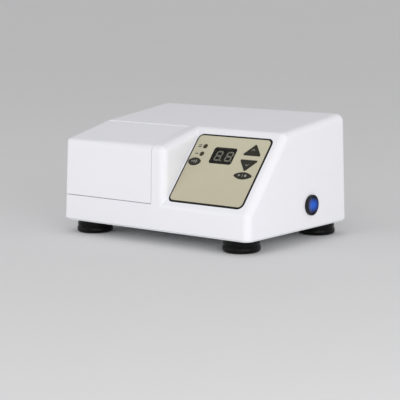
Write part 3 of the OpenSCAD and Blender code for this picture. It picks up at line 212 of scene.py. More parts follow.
class Graph:
    """Builds a shader or geometry tree in a few calls."""

    def __init__(self, tree):
        self.tree = tree
        tree.nodes.clear()

    def node(self, kind, settings=None, sockets=None):
        """Adds one node: its settings first, then the values or links of its sockets."""
        made = self.tree.nodes.new(kind)
        for name, value in (settings or {}).items():
            setattr(made, name, value)
        for name, value in (sockets or {}).items():
            self.feed(self.find(made.inputs, name), value)
        return made

    def find(self, sockets, name):
        """Socket by its identifier, its name or its number."""
        if isinstance(name, int):
            return sockets[name]
        for socket in sockets:
            if socket.identifier == name:
                return socket
        for socket in sockets:
            if socket.name == name and socket.enabled:
                return socket
        raise KeyError(f"no socket {name} among {[s.identifier for s in sockets]}")

    def feed(self, socket, value):
        """Sets one input, or links it to a Value, an output, a node's first output, or a list of them."""
        if isinstance(value, list):
            for each in value:
                self.feed(socket, each)
            return
        if isinstance(value, Value):
            value = value.socket
        if isinstance(value, bpy.types.Node):
            value = value.outputs[0]
        if isinstance(value, bpy.types.NodeSocket):
            self.tree.links.new(value, socket)
        elif socket.type == "RGBA" and len(value) == 3:
            socket.default_value = (*value, 1)
        else:
            socket.default_value = value

    def out(self, made, name=0):
        """Output of a node as a Value."""
        return Value(self, self.find(made.outputs, name))

    def math(self, operation, a, b):
        """One Math node on two values."""
        return self.out(self.node("ShaderNodeMath", {"operation": operation}, {0: a, 1: b}))

    def clamp(self, value):
        """Value kept between 0 and 1."""
        return self.math("MINIMUM", self.math("MAXIMUM", value, 0.0), 1.0)

    def place(self, stretch=None):
        """Object coordinates, stretched where that is asked for."""
        coords = self.node("ShaderNodeTexCoord").outputs["Object"]
        if stretch is None:
            return coords
        return self.node("ShaderNodeMapping", {}, {"Vector": coords, "Scale": stretch})

    def along(self, axis):
        """One of the object coordinates, in metres."""
        return self.out(self.node("ShaderNodeSeparateXYZ", {}, {"Vector": self.place()}), axis)

    def noise(self, size, detail=3.0, stretch=None):
        """Noise whose patches have the given size in metres."""
        made = self.node("ShaderNodeTexNoise", {}, {
            "Vector": self.place(stretch), "Scale": 1 / size, "Detail": detail, "Roughness": 0.55})
        return self.out(made, "Fac")

    def patches(self, size, detail, start, gain, stretch=None):
        """Sparse patches: 0 where the noise is under its start, and 1 soon above it."""
        return self.clamp((self.noise(size, detail, stretch) - start) * gain)

    def cells(self, size, feature="F1"):
        """Distance pattern of cells that have the given size in metres."""
        made = self.node("ShaderNodeTexVoronoi", {"feature": feature}, {
            "Vector": self.place(), "Scale": 1 / size})
        return self.out(made, "Distance")

    def blend(self, factor, a, b):
        """Colour between two colours."""
        made = self.node("ShaderNodeMix", {"data_type": "RGBA"}, {
            "Factor_Float": factor, "A_Color": a, "B_Color": b})
        return self.find(made.outputs, "Result_Color")

    def vary(self, factor, tone, low, high=1.0):
        """Tone that changes between two shares of its own brightness."""
        return self.blend(factor, shade(tone, low), shade(tone, high))

    def bump(self, height, depth, strength):
        """Normal from a height pattern that is so many metres deep."""
        return self.node("ShaderNodeBump", {}, {"Height": height, "Distance": depth, "Strength": strength})


def linear(colour):
    """Scene-linear colour of one written as it looks on screen."""
    return tuple(c / 12.92 if c <= 0.04045 else ((c + 0.055) / 1.055) ** 2.4 for c in colour)


def shade(colour, factor):
    """Colour made darker or lighter."""
    return tuple(min(1.0, c * factor) for c in colour)


class Finish(Graph):
    """Builds one material."""

    def __init__(self, name):
        self.material = bpy.data.materials.new(name)
        self.material.use_nodes = True
        super().__init__(self.material.node_tree)

    def made(self, **looks):
        """The material, its shader's sockets set or linked; an underscore stands for a space."""
        sockets = {name.replace("_", " "): value for name, value in looks.items()}
        shader = self.node("ShaderNodeBsdfPrincipled", {}, sockets)
        self.node("ShaderNodeOutputMaterial", {}, {"Surface": shader})
        return self.material


def moulded_white(case):
    """Satin white moulding with a fine grain, faint sink marks and a little dust."""
    g, tone = Finish("moulded_white"), linear(case.shell)
    drift, grain, haze = g.noise(70 * MM, 2.0), g.noise(case.grain, 2.0), g.noise(9 * MM, 4.0)
    speck = g.patches(2.4 * MM, 3.0, 0.69, 9.0)
    return g.made(
        Base_Color=g.blend(speck * 0.10, g.vary(drift, tone, 0.975, 1.012), shade(tone, 0.72)),
        Roughness=case.gloss - 0.05 + haze * 0.10 + speck * 0.12,
        Normal=g.bump(grain + drift * 0.8, 0.02 * MM, 0.30))


def chamber_grey(case):
    """Matt grey moulding with light scuffs where capsules are dropped in."""
    g, tone = Finish("chamber_grey"), linear(case.chamber)
    scuff = g.patches(5 * MM, 6.0, 0.58, 6.0, (1, 5, 1))
    base = g.vary(g.noise(40 * MM, 2.0), tone, 0.94, 1.04)
    return g.made(
        Base_Color=g.blend(scuff * 0.25, base, shade(tone, 1.25)),
        Roughness=0.52 - scuff * 0.12,
        Normal=g.bump(g.noise(0.6 * MM, 2.0), 0.03 * MM, 0.5))


def powder_coat(case):
    """Pale powder coat with its fine orange peel."""
    g = Finish("powder_coat")
    peel = g.noise(1.1 * MM, 2.0)
    return g.made(
        Base_Color=g.vary(g.noise(30 * MM), linear(case.plate), 0.95),
        Roughness=0.34 + peel * 0.1,
        Normal=g.bump(peel, 0.05 * MM, 0.6))


def printed_film(pad):
    """Khaki polyester film: fine emboss, and a slow change of tone towards its foot."""
    g, foot = Finish("printed_film"), linear(pad.film_low)
    low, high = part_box("panel_film")
    rise = g.clamp((g.along("Z") - low.z) / (high.z - low.z))
    base = g.blend(rise, foot, linear(pad.film))
    emboss = g.noise(0.28 * MM, 1.0)
    return g.made(
        Base_Color=g.blend(g.noise(14 * MM) * 0.16, base, shade(foot, 0.72)),
        Roughness=0.4 + emboss * 0.14,
        Normal=g.bump(emboss, 0.015 * MM, 0.6),
        Specular_IOR_Level=0.42)


def plain_plastic(name, tone, rough, grain=0.4, depth=0.02, coat=0.0, shine=0.5):
    """Coloured plastic with a slow drift of tone and rubs, its grain's size and depth in millimetres."""
    g = Finish(name)
    return g.made(
        Base_Color=g.vary(g.noise(11 * MM), linear(tone), 0.86, 1.12),
        Roughness=rough - 0.04 + g.noise(6 * MM, 4.0) * 0.1,
        Normal=g.bump(g.noise(grain * MM, 2.0), depth * MM, 0.4),
        Specular_IOR_Level=shine, Coat_Weight=coat, Coat_Roughness=0.06)


def rocker_blue(switch):
    """Polished blue: its own blue at its heart, deepened towards its edge by painted shade."""
    g = Finish("rocker_blue")
    low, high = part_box("switch_rocker")
    middle, reach = (low + high) / 2, (high.z - low.z) / 2
    aside, above = (g.along("Y") - middle.y) / reach, (g.along("Z") - middle.z) / reach
    gain, start = 1.7, 0.36  # how fast the painted shade of the edge comes, and from where
    # edge is the share of painted shade, growing with the distance from the rocker's middle
    edge = g.clamp((aside * aside + above * above) ** 0.5 * gain - start)
    cloud = g.noise(4 * MM, 2.0)
    return g.made(
        # the rocker's blue is blended to the rim colour, which is painted shade
        Base_Color=g.blend(edge, g.vary(cloud, linear(switch.rocker), 0.8, 1.2), linear(switch.rim)),
        Roughness=0.16 + cloud * 0.06,
        Normal=g.bump(g.noise(1.2 * MM, 1.0), 0.01 * MM, 0.25),
        Specular_IOR_Level=0.35, Coat_Weight=0.25, Coat_Roughness=0.04)


def smooth_rubber(feet):
    """Black rubber with a soft shine, a little dusty in its pores."""
    g, grey = Finish("smooth_rubber"), linear((0.5, 0.49, 0.47))
    dust = g.patches(3 * MM, 5.0, 0.55, 4.0)
    return g.made(
        Base_Color=g.blend(dust * 0.05, linear(feet.rubber), shade(grey, 0.5)),
        Roughness=0.34 + dust * 0.22,
        Normal=g.bump(g.noise(0.7 * MM, 3.0), 0.04 * MM, 0.35),
        Specular_IOR_Level=0.15)


def plated_metal(name, tone, rough=0.28):
    """Plated metal with cloudy patches and fine pits."""
    g = Finish(name)
    cloud = g.noise(3 * MM, 4.0)
    return g.made(
        Base_Color=g.vary(cloud, linear(tone), 0.82),
        Roughness=rough + cloud * 0.14,
        Normal=g.bump(g.cells(0.9 * MM), 0.008 * MM, 0.3),
        Metallic=1.0)


def drawn_metal(name, tone, rough=0.22, stretch=(0.06, 1, 1)):
    """Metal with the fine lines of drawing or turning along one axis."""
    g = Finish(name)
    lines, stain = g.noise(0.35 * MM, 2.0, stretch), g.noise(12 * MM)
    return g.made(
        Base_Color=g.vary(lines, linear(tone), 0.86, 1.03),
        Roughness=rough + lines * 0.12 + stain * 0.06,
        Normal=g.bump(lines, 0.006 * MM, 0.5),
        Metallic=1.0)


def cast_alloy(drive):
    """Fine-cast alloy with a sandy skin."""
    g = Finish("cast_alloy")
    sand = g.noise(0.8 * MM, 4.0)
    return g.made(
        Base_Color=g.vary(g.noise(9 * MM), linear(drive.alloy), 0.88),
        Roughness=0.36 + sand * 0.16,
        Normal=g.bump(sand, 0.04 * MM, 0.5),
        Metallic=1.0)


def motor_paint(drive):
    """Dark stoved paint, slightly uneven, with spots rubbed down to the steel."""
    g = Finish("motor_paint")
    rubbed = g.patches(4 * MM, 5.0, 0.64, 7.0)
    return g.made(
        Base_Color=g.blend(rubbed * 0.5, linear(drive.paint), linear((0.5, 0.5, 0.52))),
        Metallic=rubbed * 0.6,
        Roughness=0.36 + g.noise(1.5 * MM) * 0.15,
        Normal=g.bump(g.noise(1.3 * MM, 2.0), 0.03 * MM, 0.5))


def wound_copper():
    """Laminated core and varnished wire, both as fine stripes across the shaft."""
    g, tone = Finish("wound_copper"), linear((0.80, 0.47, 0.28))
    pitch, wave = 0.5 * MM, 0.3  # a wave pattern of scale 1 repeats about every 0.3 m
    stripe = g.node("ShaderNodeTexWave", {"bands_direction": "X"}, {
        "Vector": g.place(), "Scale": wave / pitch, "Distortion": 0.4, "Detail": 1.0})
    bands = g.out(stripe, "Fac")
    return g.made(
        Base_Color=g.vary(bands, tone, 0.6),
        Roughness=0.3 + bands * 0.2,
        Normal=g.bump(bands, 0.1 * MM, 0.5),
        Metallic=0.8)


def solder_mask():
    """Green circuit board with lighter raised tracks and pale solder dots."""
    g, mask = Finish("solder_mask"), linear((0.08, 0.36, 0.20))
    track = g.cells(3.2 * MM, "DISTANCE_TO_EDGE") < 0.09
    dots = g.cells(2.4 * MM) < 0.13
    return g.made(
        Base_Color=g.blend(dots, g.vary(track, mask, 1.0, 1.7), linear((0.72, 0.73, 0.70))),
        Metallic=dots * 0.9,
        Roughness=0.3 + g.noise(2 * MM) * 0.1,
        Normal=g.bump(track + dots, 0.04 * MM, 0.6))


def tinted_window(pad):
    """Smoked window that lets the digits through."""
    g = Finish("tinted_window")
    smear = g.noise(5 * MM)
    return g.made(
        Base_Color=g.vary(smear, linear(shade(pad.screen, 0.55)), 1.0, 1.4),
        Roughness=0.12 + smear * 0.08,
        Alpha=0.26, IOR=1.46, Specular_IOR_Level=0.3)


@cache
def finishes():
    """Every material of the object, by the record's slot or by its own name, made on first use."""
    scene = bpy.context.scene
    case, pad, switch = scene.amalgamator_case, scene.amalgamator_keypad, scene.amalgamator_switch
    feet, drive = scene.amalgamator_feet, scene.amalgamator_drive
    white = moulded_white(case)
    return {
        "housing_white": white,
        "lid_white": white,
        "chamber_grey": chamber_grey(case),
        "plate_steel": powder_coat(case),
        "foot_rubber": smooth_rubber(feet),
        "screw_steel": plated_metal("plated_screw", drive.zinc),
        "spring_steel": drawn_metal("spring_steel", drive.steel),
        "magnet": plated_metal("nickel_plate", (0.72, 0.72, 0.73), 0.16),
        "arm_alloy": cast_alloy(drive),
        "motor_steel": motor_paint(drive),
        "bracket_steel": drawn_metal("zinc_sheet", shade(drive.zinc, 0.92), 0.3, (1, 0.1, 1)),
        "copper": wound_copper(),
        "ferrite": plain_plastic("ferrite", (0.28, 0.28, 0.3), 0.55, grain=0.3, depth=0.05),
        "black_plastic": plain_plastic("black_plastic", switch.body, 0.3, grain=0.5, coat=0.05, shine=0.3),
        "blue_plastic": rocker_blue(switch),
        "nylon": plain_plastic("nylon", (0.90, 0.88, 0.80), 0.42, grain=0.8, depth=0.03),
        "board_green": solder_mask(),
        "film_khaki": printed_film(pad),
        "frame_dark": plain_plastic("border_dark", pad.border, 0.42, shine=0.25),
        "key_grey": plain_plastic("key_grey", pad.key, 0.42, grain=0.35, depth=0.03, shine=0.3),
        "window_dark": tinted_window(pad),
        "lens_dark": plain_plastic("lens_dark", pad.lens, 0.14, grain=1.0, depth=0.01, coat=0.15, shine=0.3),
        "capacitor_blue": plain_plastic("shrink_sleeve", (0.16, 0.18, 0.42), 0.24, grain=1.0),
        "screen": plain_plastic("display_face", pad.screen, 0.4, shine=0.3),
        "segment": plain_plastic("display_segment", pad.segment, 0.45),
        "mark": plain_plastic("key_mark", pad.mark, 0.42),
        "ink": plain_plastic("print_ink", shade(pad.border, 1.3), 0.45),
    }


def node_slot(node):
    """Material slot that the record gives to a node."""
    return next(s["material_slot"] for s in frame["record"]["subparts"] if s["node"] == node)


def node_body(node):
    """Body that carries a node."""
    bodies = frame["record"]["behaviour"]["bodies"]
    return next(body for body, members in bodies.items() if node in members)


def linked(name, data):
    """New object, linked to the scene."""
    made = bpy.data.objects.new(name, data)
    bpy.context.scene.collection.objects.link(made)
    return made


def coat(mesh, material):
    """Gives a mesh one of the object's materials."""
    mesh.materials.clear()
    mesh.materials.append(finishes()[material])


def new_piece(name, mesh, material, body, replaced=()):
    """Puts a finished mesh in the scene as a piece that rides on a body."""
    piece = linked(name, mesh)
    coat(mesh, material)
    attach(piece, body)
    if replaced:
        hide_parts(*replaced)


def plain_mesh(holder, name):
    """Mesh that an object's modifiers give; the object itself is then taken away."""
    graph = bpy.context.evaluated_depsgraph_get()
    mesh = bpy.data.meshes.new_from_object(holder.evaluated_get(graph))
    mesh.name = name
    bpy.data.objects.remove(holder)
    return mesh


def merged(node):
    """Copy of a node's solid with its loose triangles joined to faces."""
    mesh = frame["nodes"][node].data.copy()
    bm = bmesh.new()
    bm.from_mesh(mesh)
    bmesh.ops.remove_doubles(bm, verts=bm.verts, dist=WELD)
    bmesh.ops.dissolve_limit(
        bm, angle_limit=FLAT, verts=bm.verts, edges=bm.edges, use_dissolve_boundaries=False)
    bm.to_mesh(mesh)
    bm.free()
    return mesh


def dressed(node, name, edge, steps=2, material=None):
    """A node's own shape with small rounded edges and even shading, in place of the node."""
    holder = linked(name + "_holder", merged(node))
    holder.data.shade_smooth()
    rounding = holder.modifiers.new("Rounding", "BEVEL")
    rounding.width = edge
    rounding.segments = steps
    rounding.limit_method = "ANGLE"
    rounding.angle_limit = ROUNDED
    rounding.use_clamp_overlap = True
    rounding.miter_outer = "MITER_ARC"
    even = holder.modifiers.new("Even", "WEIGHTED_NORMAL")
    even.keep_sharp = False
    slot = node_slot(node)
    new_piece(name, plain_mesh(holder, name), material or slot, node_body(node), (node,))


def coat_nodes(*nodes):
    """Gives nodes that stay as they are the finish of their slots."""
    for node in nodes:
        coat(frame["nodes"][node].data, node_slot(node))


def islands(node):
    """Corner points of each separate solid in a node."""
    bm = bmesh.new()
    bm.from_mesh(frame["nodes"][node].data)
    bmesh.ops.remove_doubles(bm, verts=bm.verts, dist=WELD)
    left = set(bm.verts)
    found = []
    while left:
        reached = [min(left, key=lambda v: v.index)]
        left.remove(reached[0])
        for vert in reached:
            for edge in vert.link_edges:
                other = edge.other_vert(vert)
                if other in left:
                    left.remove(other)
                    reached.append(other)
        found.append([v.co.copy() for v in reached])
    bm.free()
    return found


class Console:
    """Face of the keypad: x from its left edge, s up the slope from its lower edge, h out of its face."""

    def __init__(self):
        press = next(j for j in frame["joints"] if j["name"] == "key_up_press")
        self.across = Vector((1, 0, 0))
        self.out = -Vector(press["axis"]).normalized()
        self.up = self.out.cross(self.across).normalized()
        corners = [v.co for v in frame["nodes"]["panel_frame"].data.vertices]
        self.corner = (
            self.across * min(c.dot(self.across) for c in corners)
            + self.up * min(c.dot(self.up) for c in corners)
            + self.out * max(c.dot(self.out) for c in corners))

    def point(self, x, s, h):
        """Place of a point given on the keypad."""
        return self.corner + self.across * x + self.up * s + self.out * h

    def span(self, node):
        """Lowest and highest x, s and h of a node on the keypad."""
        spots = [v.co - self.corner for v in frame["nodes"][node].data.vertices]
        rows = [[p.dot(d) for p in spots] for d in (self.across, self.up, self.out)]
        return [(min(row), max(row)) for row in rows]

    def middle(self, node):
        """Middle x and s of a node, and its highest h."""
        (x0, x1), (s0, s1), (_, top) = self.span(node)
        return (x0 + x1) / 2, (s0 + s1) / 2, top

    def loop(self, bm, outline, h):
        """New corners on the keypad, from an outline in x and s."""
        return [bm.verts.new(self.point(x, s, h)) for x, s in outline]


def closed_mesh(bm, name):
    """Mesh of a closed shape, its faces turned outwards."""
    bmesh.ops.recalc_face_normals(bm, faces=bm.faces)
    mesh = bpy.data.meshes.new(name)
    bm.to_mesh(mesh)
    bm.free()
    return mesh


def wall(bm, first, second):
    """Faces between two loops with as many corners each."""
    for i in range(len(first)):
        j = (i + 1) % len(first)
        bm.faces.new((first[i], first[j], second[j], second[i]))


def slab(outlines, console, low, high):
    """Flat prisms on the keypad, each from its outline in x and s."""
    bm = bmesh.new()
    for outline in outlines:
        base, top = console.loop(bm, outline, low), console.loop(bm, outline, high)
        bm.faces.new(list(reversed(base)))
        bm.faces.new(top)
        wall(bm, base, top)
    return closed_mesh(bm, "slab")


def circle(x, y, radius, sides):
    """Corners of a circle about its centre."""
    turns = [math.tau * i / sides for i in range(sides)]
    return [(x + radius * math.cos(a), y + radius * math.sin(a)) for a in turns]


def arc(centre, radius, start, end, steps):
    """Points on an arc, the angles in degrees."""
    angles = [math.radians(start + (end - start) * i / steps) for i in range(steps + 1)]
    return [(centre[0] + radius * math.cos(a), centre[1] + radius * math.sin(a)) for a in angles]


def rounded(x, s, width, length, radius, steps=6):
    """Rectangle with rounded corners about a centre."""
    outline = []
    for side, end, start in ((1, 1, 0), (-1, 1, 90), (-1, -1, 180), (1, -1, 270)):
        corner = (x + side * (width / 2 - radius), s + end * (length / 2 - radius))
        outline += arc(corner, radius, start, start + 90, steps)
    return outline


def ring(outer, inner, console, low, high):
    """Flat frame on the keypad between two outlines with as many points each."""
    bm = bmesh.new()
    loops = [
        console.loop(bm, outline, h)
        for outline, h in ((outer, low), (inner, low), (inner, high), (outer, high))]
    for first, second in zip(loops, loops[1:] + loops[:1]):
        wall(bm, first, second)
    return closed_mesh(bm, "ring")


def bar(x, s, width, length):
    """Rectangle about a centre."""
    return [
        (x - width / 2, s - length / 2), (x + width / 2, s - length / 2),
        (x + width / 2, s + length / 2), (x - width / 2, s + length / 2)]


def segment(x, s, length, thick, upright):
    """Six-cornered segment about its centre."""
    half, tip = length / 2, thick / 2
    outline = [
        (-half, 0), (-half + tip, -tip), (half - tip, -tip),
        (half, 0), (half - tip, tip), (-half + tip, tip)]
    if upright:
        outline = [(-b, a) for a, b in outline]
    return [(x + a, s + b) for a, b in outline]


def digit(pad, x, s):
    """The seven segments and the point of one digit about its centre, leaning to the right."""
    w, h, t = pad.digit_w - pad.stroke, pad.digit_h - pad.stroke, pad.stroke
    gap, aside, under = 0.12 * t, 1.15 * t, 0.2 * t  # between segments, and the point's place from the corner
    parts = [segment(0, row * h / 2, w - gap, t, False) for row in (-1, 0, 1)]
    parts += [segment(side * w / 2, row * h / 4, h / 2 - gap, t, True) for side in (-1, 1) for row in (-1, 1)]
    parts.append(circle(w / 2 + aside, -h / 2 - under, t / 2, 16))
    slant = math.tan(pad.lean)
    return [[(x + a + b * slant, s + b) for a, b in part] for part in parts]


def revolved(profile, sides):
    """Closed solid of revolution about Z from (radius, height) points, both ends on the axis."""
    bm = bmesh.new()
    rings = []
    for radius, height in profile:
        spots = circle(0, 0, radius, sides) if radius else [(0, 0)]
        rings.append([bm.verts.new((x, y, height)) for x, y in spots])
    for low, high in zip(rings, rings[1:]):
        for i in range(sides):
            j = (i + 1) % sides
            corners = [low[i % len(low)], low[j % len(low)], high[j % len(high)], high[i % len(high)]]
            loop = list(dict.fromkeys(corners))
            if len(loop) > 2:
                bm.faces.new(loop)
    return closed_mesh(bm, "revolved")


def spread(name, tree, points, values, sharp):
    """Plain mesh of a geometry tree run on loose points, its edges sharp over an angle in degrees."""
    cloud = bpy.data.meshes.new(name)
    cloud.from_pydata([tuple(p) for p in points], [], [])
    holder = linked(name + "_holder", cloud)
    modifier = holder.modifiers.new("Spread", "NODES")
    modifier.node_group = tree
    for item in tree.interface.items_tree:
        if item.item_type == "SOCKET" and item.in_out == "INPUT" and item.name in values:
            modifier[item.identifier] = values[item.name]
    mesh = plain_mesh(holder, name)
    mesh.shade_smooth()
    mesh.set_sharp_from_angle(angle=math.radians(sharp))
    return mesh


def new_tree(name, **inputs):
    """Graph and input node of a geometry tree whose named inputs are given by their kind."""
    tree = bpy.data.node_groups.new(name, "GeometryNodeTree")
    for kind, labels in {"Geometry": ["Geometry"], **inputs}.items():
        for label in labels:
            tree.interface.new_socket(label, in_out="INPUT", socket_type="NodeSocket" + kind)
    tree.interface.new_socket("Geometry", in_out="OUTPUT", socket_type="NodeSocketGeometry")
    g = Graph(tree)
    return g, g.node("NodeGroupInput")


def end_tree(g, given, shape, **turn):
    """Puts a shape on every point, makes it real and gives it its material."""
    placed = g.node("GeometryNodeInstanceOnPoints", {}, {
        "Points": given.outputs["Geometry"], "Instance": shape, **turn})
    real = g.node("GeometryNodeRealizeInstances", {}, {"Geometry": placed})
    made = g.node("GeometryNodeSetMaterial", {}, {"Geometry": real, "Material": given.outputs["Material"]})
    g.node("NodeGroupOutput", {}, {"Geometry": made})
    return g.tree


@cache
def screw_tree():
    """Geometry nodes: a domed cross-head screw on every point, its head turned to a direction."""
    sizes = ("Head Radius", "Head Height", "Shank Radius", "Shank Length", "Cross Width")
    g, given = new_tree("Screws", Float=sizes, Vector=("Direction",), Material=("Material",))
    radius, height, shank_r, shank_l, cross = [g.out(given, label) for label in sizes]
    head_sides, shank_sides = 32, 24
    skirt, dome = 0.4, ((0.72, 0.9), (0.92, 0.68), (1.0, 0.4))  # shares of the head's height and radius
    reach, sunk = 1.15, 1.02  # the cross's length by the radius, its middle by the head's height

    def vector(**parts):
        return g.node("ShaderNodeCombineXYZ", {}, parts)

    def moved(made, rise):
        return g.node("GeometryNodeTransform", {}, {"Geometry": made, "Translation": vector(Z=rise)})

    def cylinder(sides, wide, deep):
        return g.node("GeometryNodeMeshCylinder", {"fill_type": "NGON"}, {
            "Vertices": sides, "Radius": wide, "Depth": deep})

    layers = [moved(cylinder(head_sides, radius, height * skirt), height * (skirt / 2))]
    low, wide = skirt, 1.0
    for high, narrow in dome:
        cone = g.node("GeometryNodeMeshCone", {"fill_type": "NGON"}, {
            "Vertices": head_sides, "Radius Bottom": radius * wide, "Radius Top": radius * narrow,
            "Depth": height * (high - low)})
        layers.append(moved(cone, height * low))
        low, wide = high, narrow
    layers.append(moved(cylinder(shank_sides, shank_r, shank_l), shank_l * -0.5))
    whole = g.node("GeometryNodeMeshBoolean", {"operation": "UNION", "solver": "EXACT"}, {"Mesh 2": layers})
    bar_size = vector(X=radius * reach, Y=cross, Z=height)
    blade = moved(g.node("GeometryNodeMeshCube", {}, {"Size": bar_size}), height * sunk)
    quarter = g.node("GeometryNodeTransform", {}, {"Geometry": blade, "Rotation": (0, 0, math.pi / 2)})
    cut = g.node("GeometryNodeMeshBoolean", {"operation": "DIFFERENCE", "solver": "EXACT"}, {
        "Mesh 1": whole, "Mesh 2": [blade, quarter]})
    facing = g.node(
        "FunctionNodeAlignRotationToVector", {"axis": "Z"}, {"Vector": given.outputs["Direction"]})
    return end_tree(g, given, cut, Rotation=facing)


def foot_tree():
    """Geometry nodes: one foot on every point."""
    g, given = new_tree("Feet", Object=("Foot",), Material=("Material",))
    shape = g.node("GeometryNodeObjectInfo", {}, {"Object": given.outputs["Foot"]})
    return end_tree(g, given, shape.outputs["Geometry"])


def screws(node, name, direction, head_share):
    """Cross-head screws in place of a node of plain ones that are all alike, heads to a direction."""
    facing = Vector(direction).normalized()
    tip = 0.05 * MM  # corners this near the far end are the shank's own
    seats = []
    for corners in islands(node):
        middle = sum(corners, Vector()) / len(corners)
        along = [(c - middle).dot(facing) for c in corners]
        aside = [((c - middle) - facing * a).length for c, a in zip(corners, along)]
        radius = max(aside)
        height = head_share * radius
        shank = max(r for a, r in zip(along, aside) if a < min(along) + tip)
        length = max(along) - min(along) - height
        seats.append(middle + facing * (max(along) - height))
    recess = bpy.context.scene.amalgamator_drive.recess
    slot = node_slot(node)
    mesh = spread(name, screw_tree(), seats, {
        "Head Radius": radius, "Head Height": height, "Shank Radius": shank, "Shank Length": length,
        "Cross Width": 2 * radius * recess, "Direction": tuple(facing), "Material": finishes()[slot]}, 34)
    new_piece(name, mesh, slot, node_body(node), (node,))


class AMALGAMATOR_OT_case(bpy.types.Operator):
    """Make the white case and its base plate"""

    bl_idname = "amalgamator.case"
    bl_label = "Case"

    def execute(self, context):
        dressed("housing", "case_shell", context.scene.amalgamator_case.edge)
        dressed("base_plate", "base_plate_coated", 0.3 * MM)
        screws("base_screws", "base_plate_screws", DOWN, 0.6)
        return {"FINISHED"}


class AMALGAMATOR_OT_hood(bpy.types.Operator):
    """Make the hood with its hinge pin and its magnet"""

    bl_idname = "amalgamator.hood"
    bl_label = "Hood"

    def execute(self, context):
        dressed("lid", "hood_shell", context.scene.amalgamator_case.edge)
        dressed("lid_hinge_pin", "hood_hinge_pin", 0.2 * MM)
        dressed("lid_magnet", "hood_magnet", 0.2 * MM)
        coat_nodes("lid_sensor")
        return {"FINISHED"}


class AMALGAMATOR_OT_feet(bpy.types.Operator):
    """Make the four rubber feet with their screws"""

    bl_idname = "amalgamator.feet"
    bl_label = "Feet"

    def execute(self, context):
        feet = context.scene.amalgamator_feet
        nodes = ("foot_front_left", "foot_back_left", "foot_front_right", "foot_back_right")
        low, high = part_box(nodes[0])
        radius, height = (high.x - low.x) / 2, high.z - low.z
        rim, lip, shoulder, waist = 3.0 * MM, 0.6 * MM, 0.8 * MM, radius - 1.2 * MM
        recess_r, recess_h = 6 * MM, 7 * MM
        sole = [(0, recess_h), (recess_r, recess_h)] + arc((recess_r + lip, lip), lip, 180, 270, 5)
        sole += arc((radius - rim, rim), rim, 270, 360, 12)
        mid, mouth, bed = height * 0.52, 1.1 * MM, 0.4 * MM  # the groove's middle and half widths
        under, at, over = radius - 0.25 * MM, radius - 0.45 * MM, radius - 0.6 * MM  # the leaning wall
        deep = at - feet.groove
        side = [(under, mid - mouth), (deep, mid - bed), (deep, mid + bed), (over, mid + mouth)]
        top = arc((waist - shoulder, height - shoulder), shoulder, 0, 90, 6) + [(0, height)]
        shape = linked("foot_shape", revolved(sole + side + top, feet.sides))
        spots = []
        for node in nodes:
            low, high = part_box(node)
            spots.append(((low.x + high.x) / 2, (low.y + high.y) / 2, low.z))
        mesh = spread("rubber_feet", foot_tree(), spots, {
            "Foot": shape, "Material": finishes()["foot_rubber"]}, 40)
        bpy.data.objects.remove(shape)
        new_piece("rubber_feet", mesh, "foot_rubber", "base", nodes)
        screws("foot_screws", "feet_screws", DOWN, 0.55)
        return {"FINISHED"}


class AMALGAMATOR_OT_keypad(bpy.types.Operator):
    """Make the keypad's border, film, keys and marks"""

    bl_idname = "amalgamator.keypad"
    bl_label = "Keypad"

    def execute(self, context):
        pad = context.scene.amalgamator_keypad
        console = Console()
        dressed("panel_frame", "keypad_border", 0.25 * MM)
        dressed("panel_film", "keypad_film", 0.12 * MM)
        for key in KEYS:
            dressed(key, key + "_cap", 0.28 * MM, 3)
        for node in ("light_high", "light_low"):
            dressed(node, node + "_lens", 0.25 * MM, 3)
        self.key_marks(pad, console)
        self.light_marks(pad, console)
        return {"FINISHED"}

    def key_marks(self, pad, console):
        """Small pale marks on the four keys."""
        for key in KEYS:
            x, s, top = console.middle(key)
            mesh = slab(self.mark(key, x, s), console, top, top + pad.ink_t)
            new_piece(key + "_mark", mesh, "mark", key)

    def mark(self, key, x, s):
        """Outlines of a key's mark: a play sign, a rule and a stop square, rising bars, or a chevron."""
        if key == "key_start":
            near, far, half, square = 2.2 * MM, 4.6 * MM, 1.3 * MM, 2.2 * MM
            play = [(x - far, s - half), (x - near, s), (x - far, s + half)]
            return [play, bar(x + 3.4 * MM, s, square, square), bar(x, s, 0.5 * MM, 3.0 * MM)]
        if key == "key_speed":
            pitch, wide, shortest, growth = 2.4 * MM, 1.2 * MM, 1.3 * MM, 0.9 * MM
            return [bar(x + (i - 1) * pitch, s, wide, shortest + growth * i) for i in range(3)]
        up = 1 if key == "key_up" else -1
        half, tall, thick, drop = 1.7 * MM, 1.6 * MM, 0.7 * MM, 1.2 * MM
        tip = [(x - half, s - up * drop), (x, s + up * (tall - drop)), (x + half, s - up * drop)]
        return [tip + [(a, b + up * thick) for a, b in reversed(tip)]]

    def light_marks(self, pad, console):
        """Bars beside the two lights: two for the higher speed, one for the lower."""
        pitch, aside, wide, thick = 1.8 * MM, 3.5 * MM, 3.8 * MM, 0.85 * MM
        outlines = []
        for node, count in (("light_high", 2), ("light_low", 1)):
            (x0, _), (s0, s1), _ = console.span(node)
            for i in range(count):
                s = (s0 + s1) / 2 + (i - (count - 1) / 2) * pitch
                outlines.append(bar(x0 - aside, s, wide, thick))
        face = console.middle("panel_film")[2]
        mesh = slab(outlines, console, face, face + pad.ink_t)
        new_piece("keypad_print", mesh, "ink", "base")


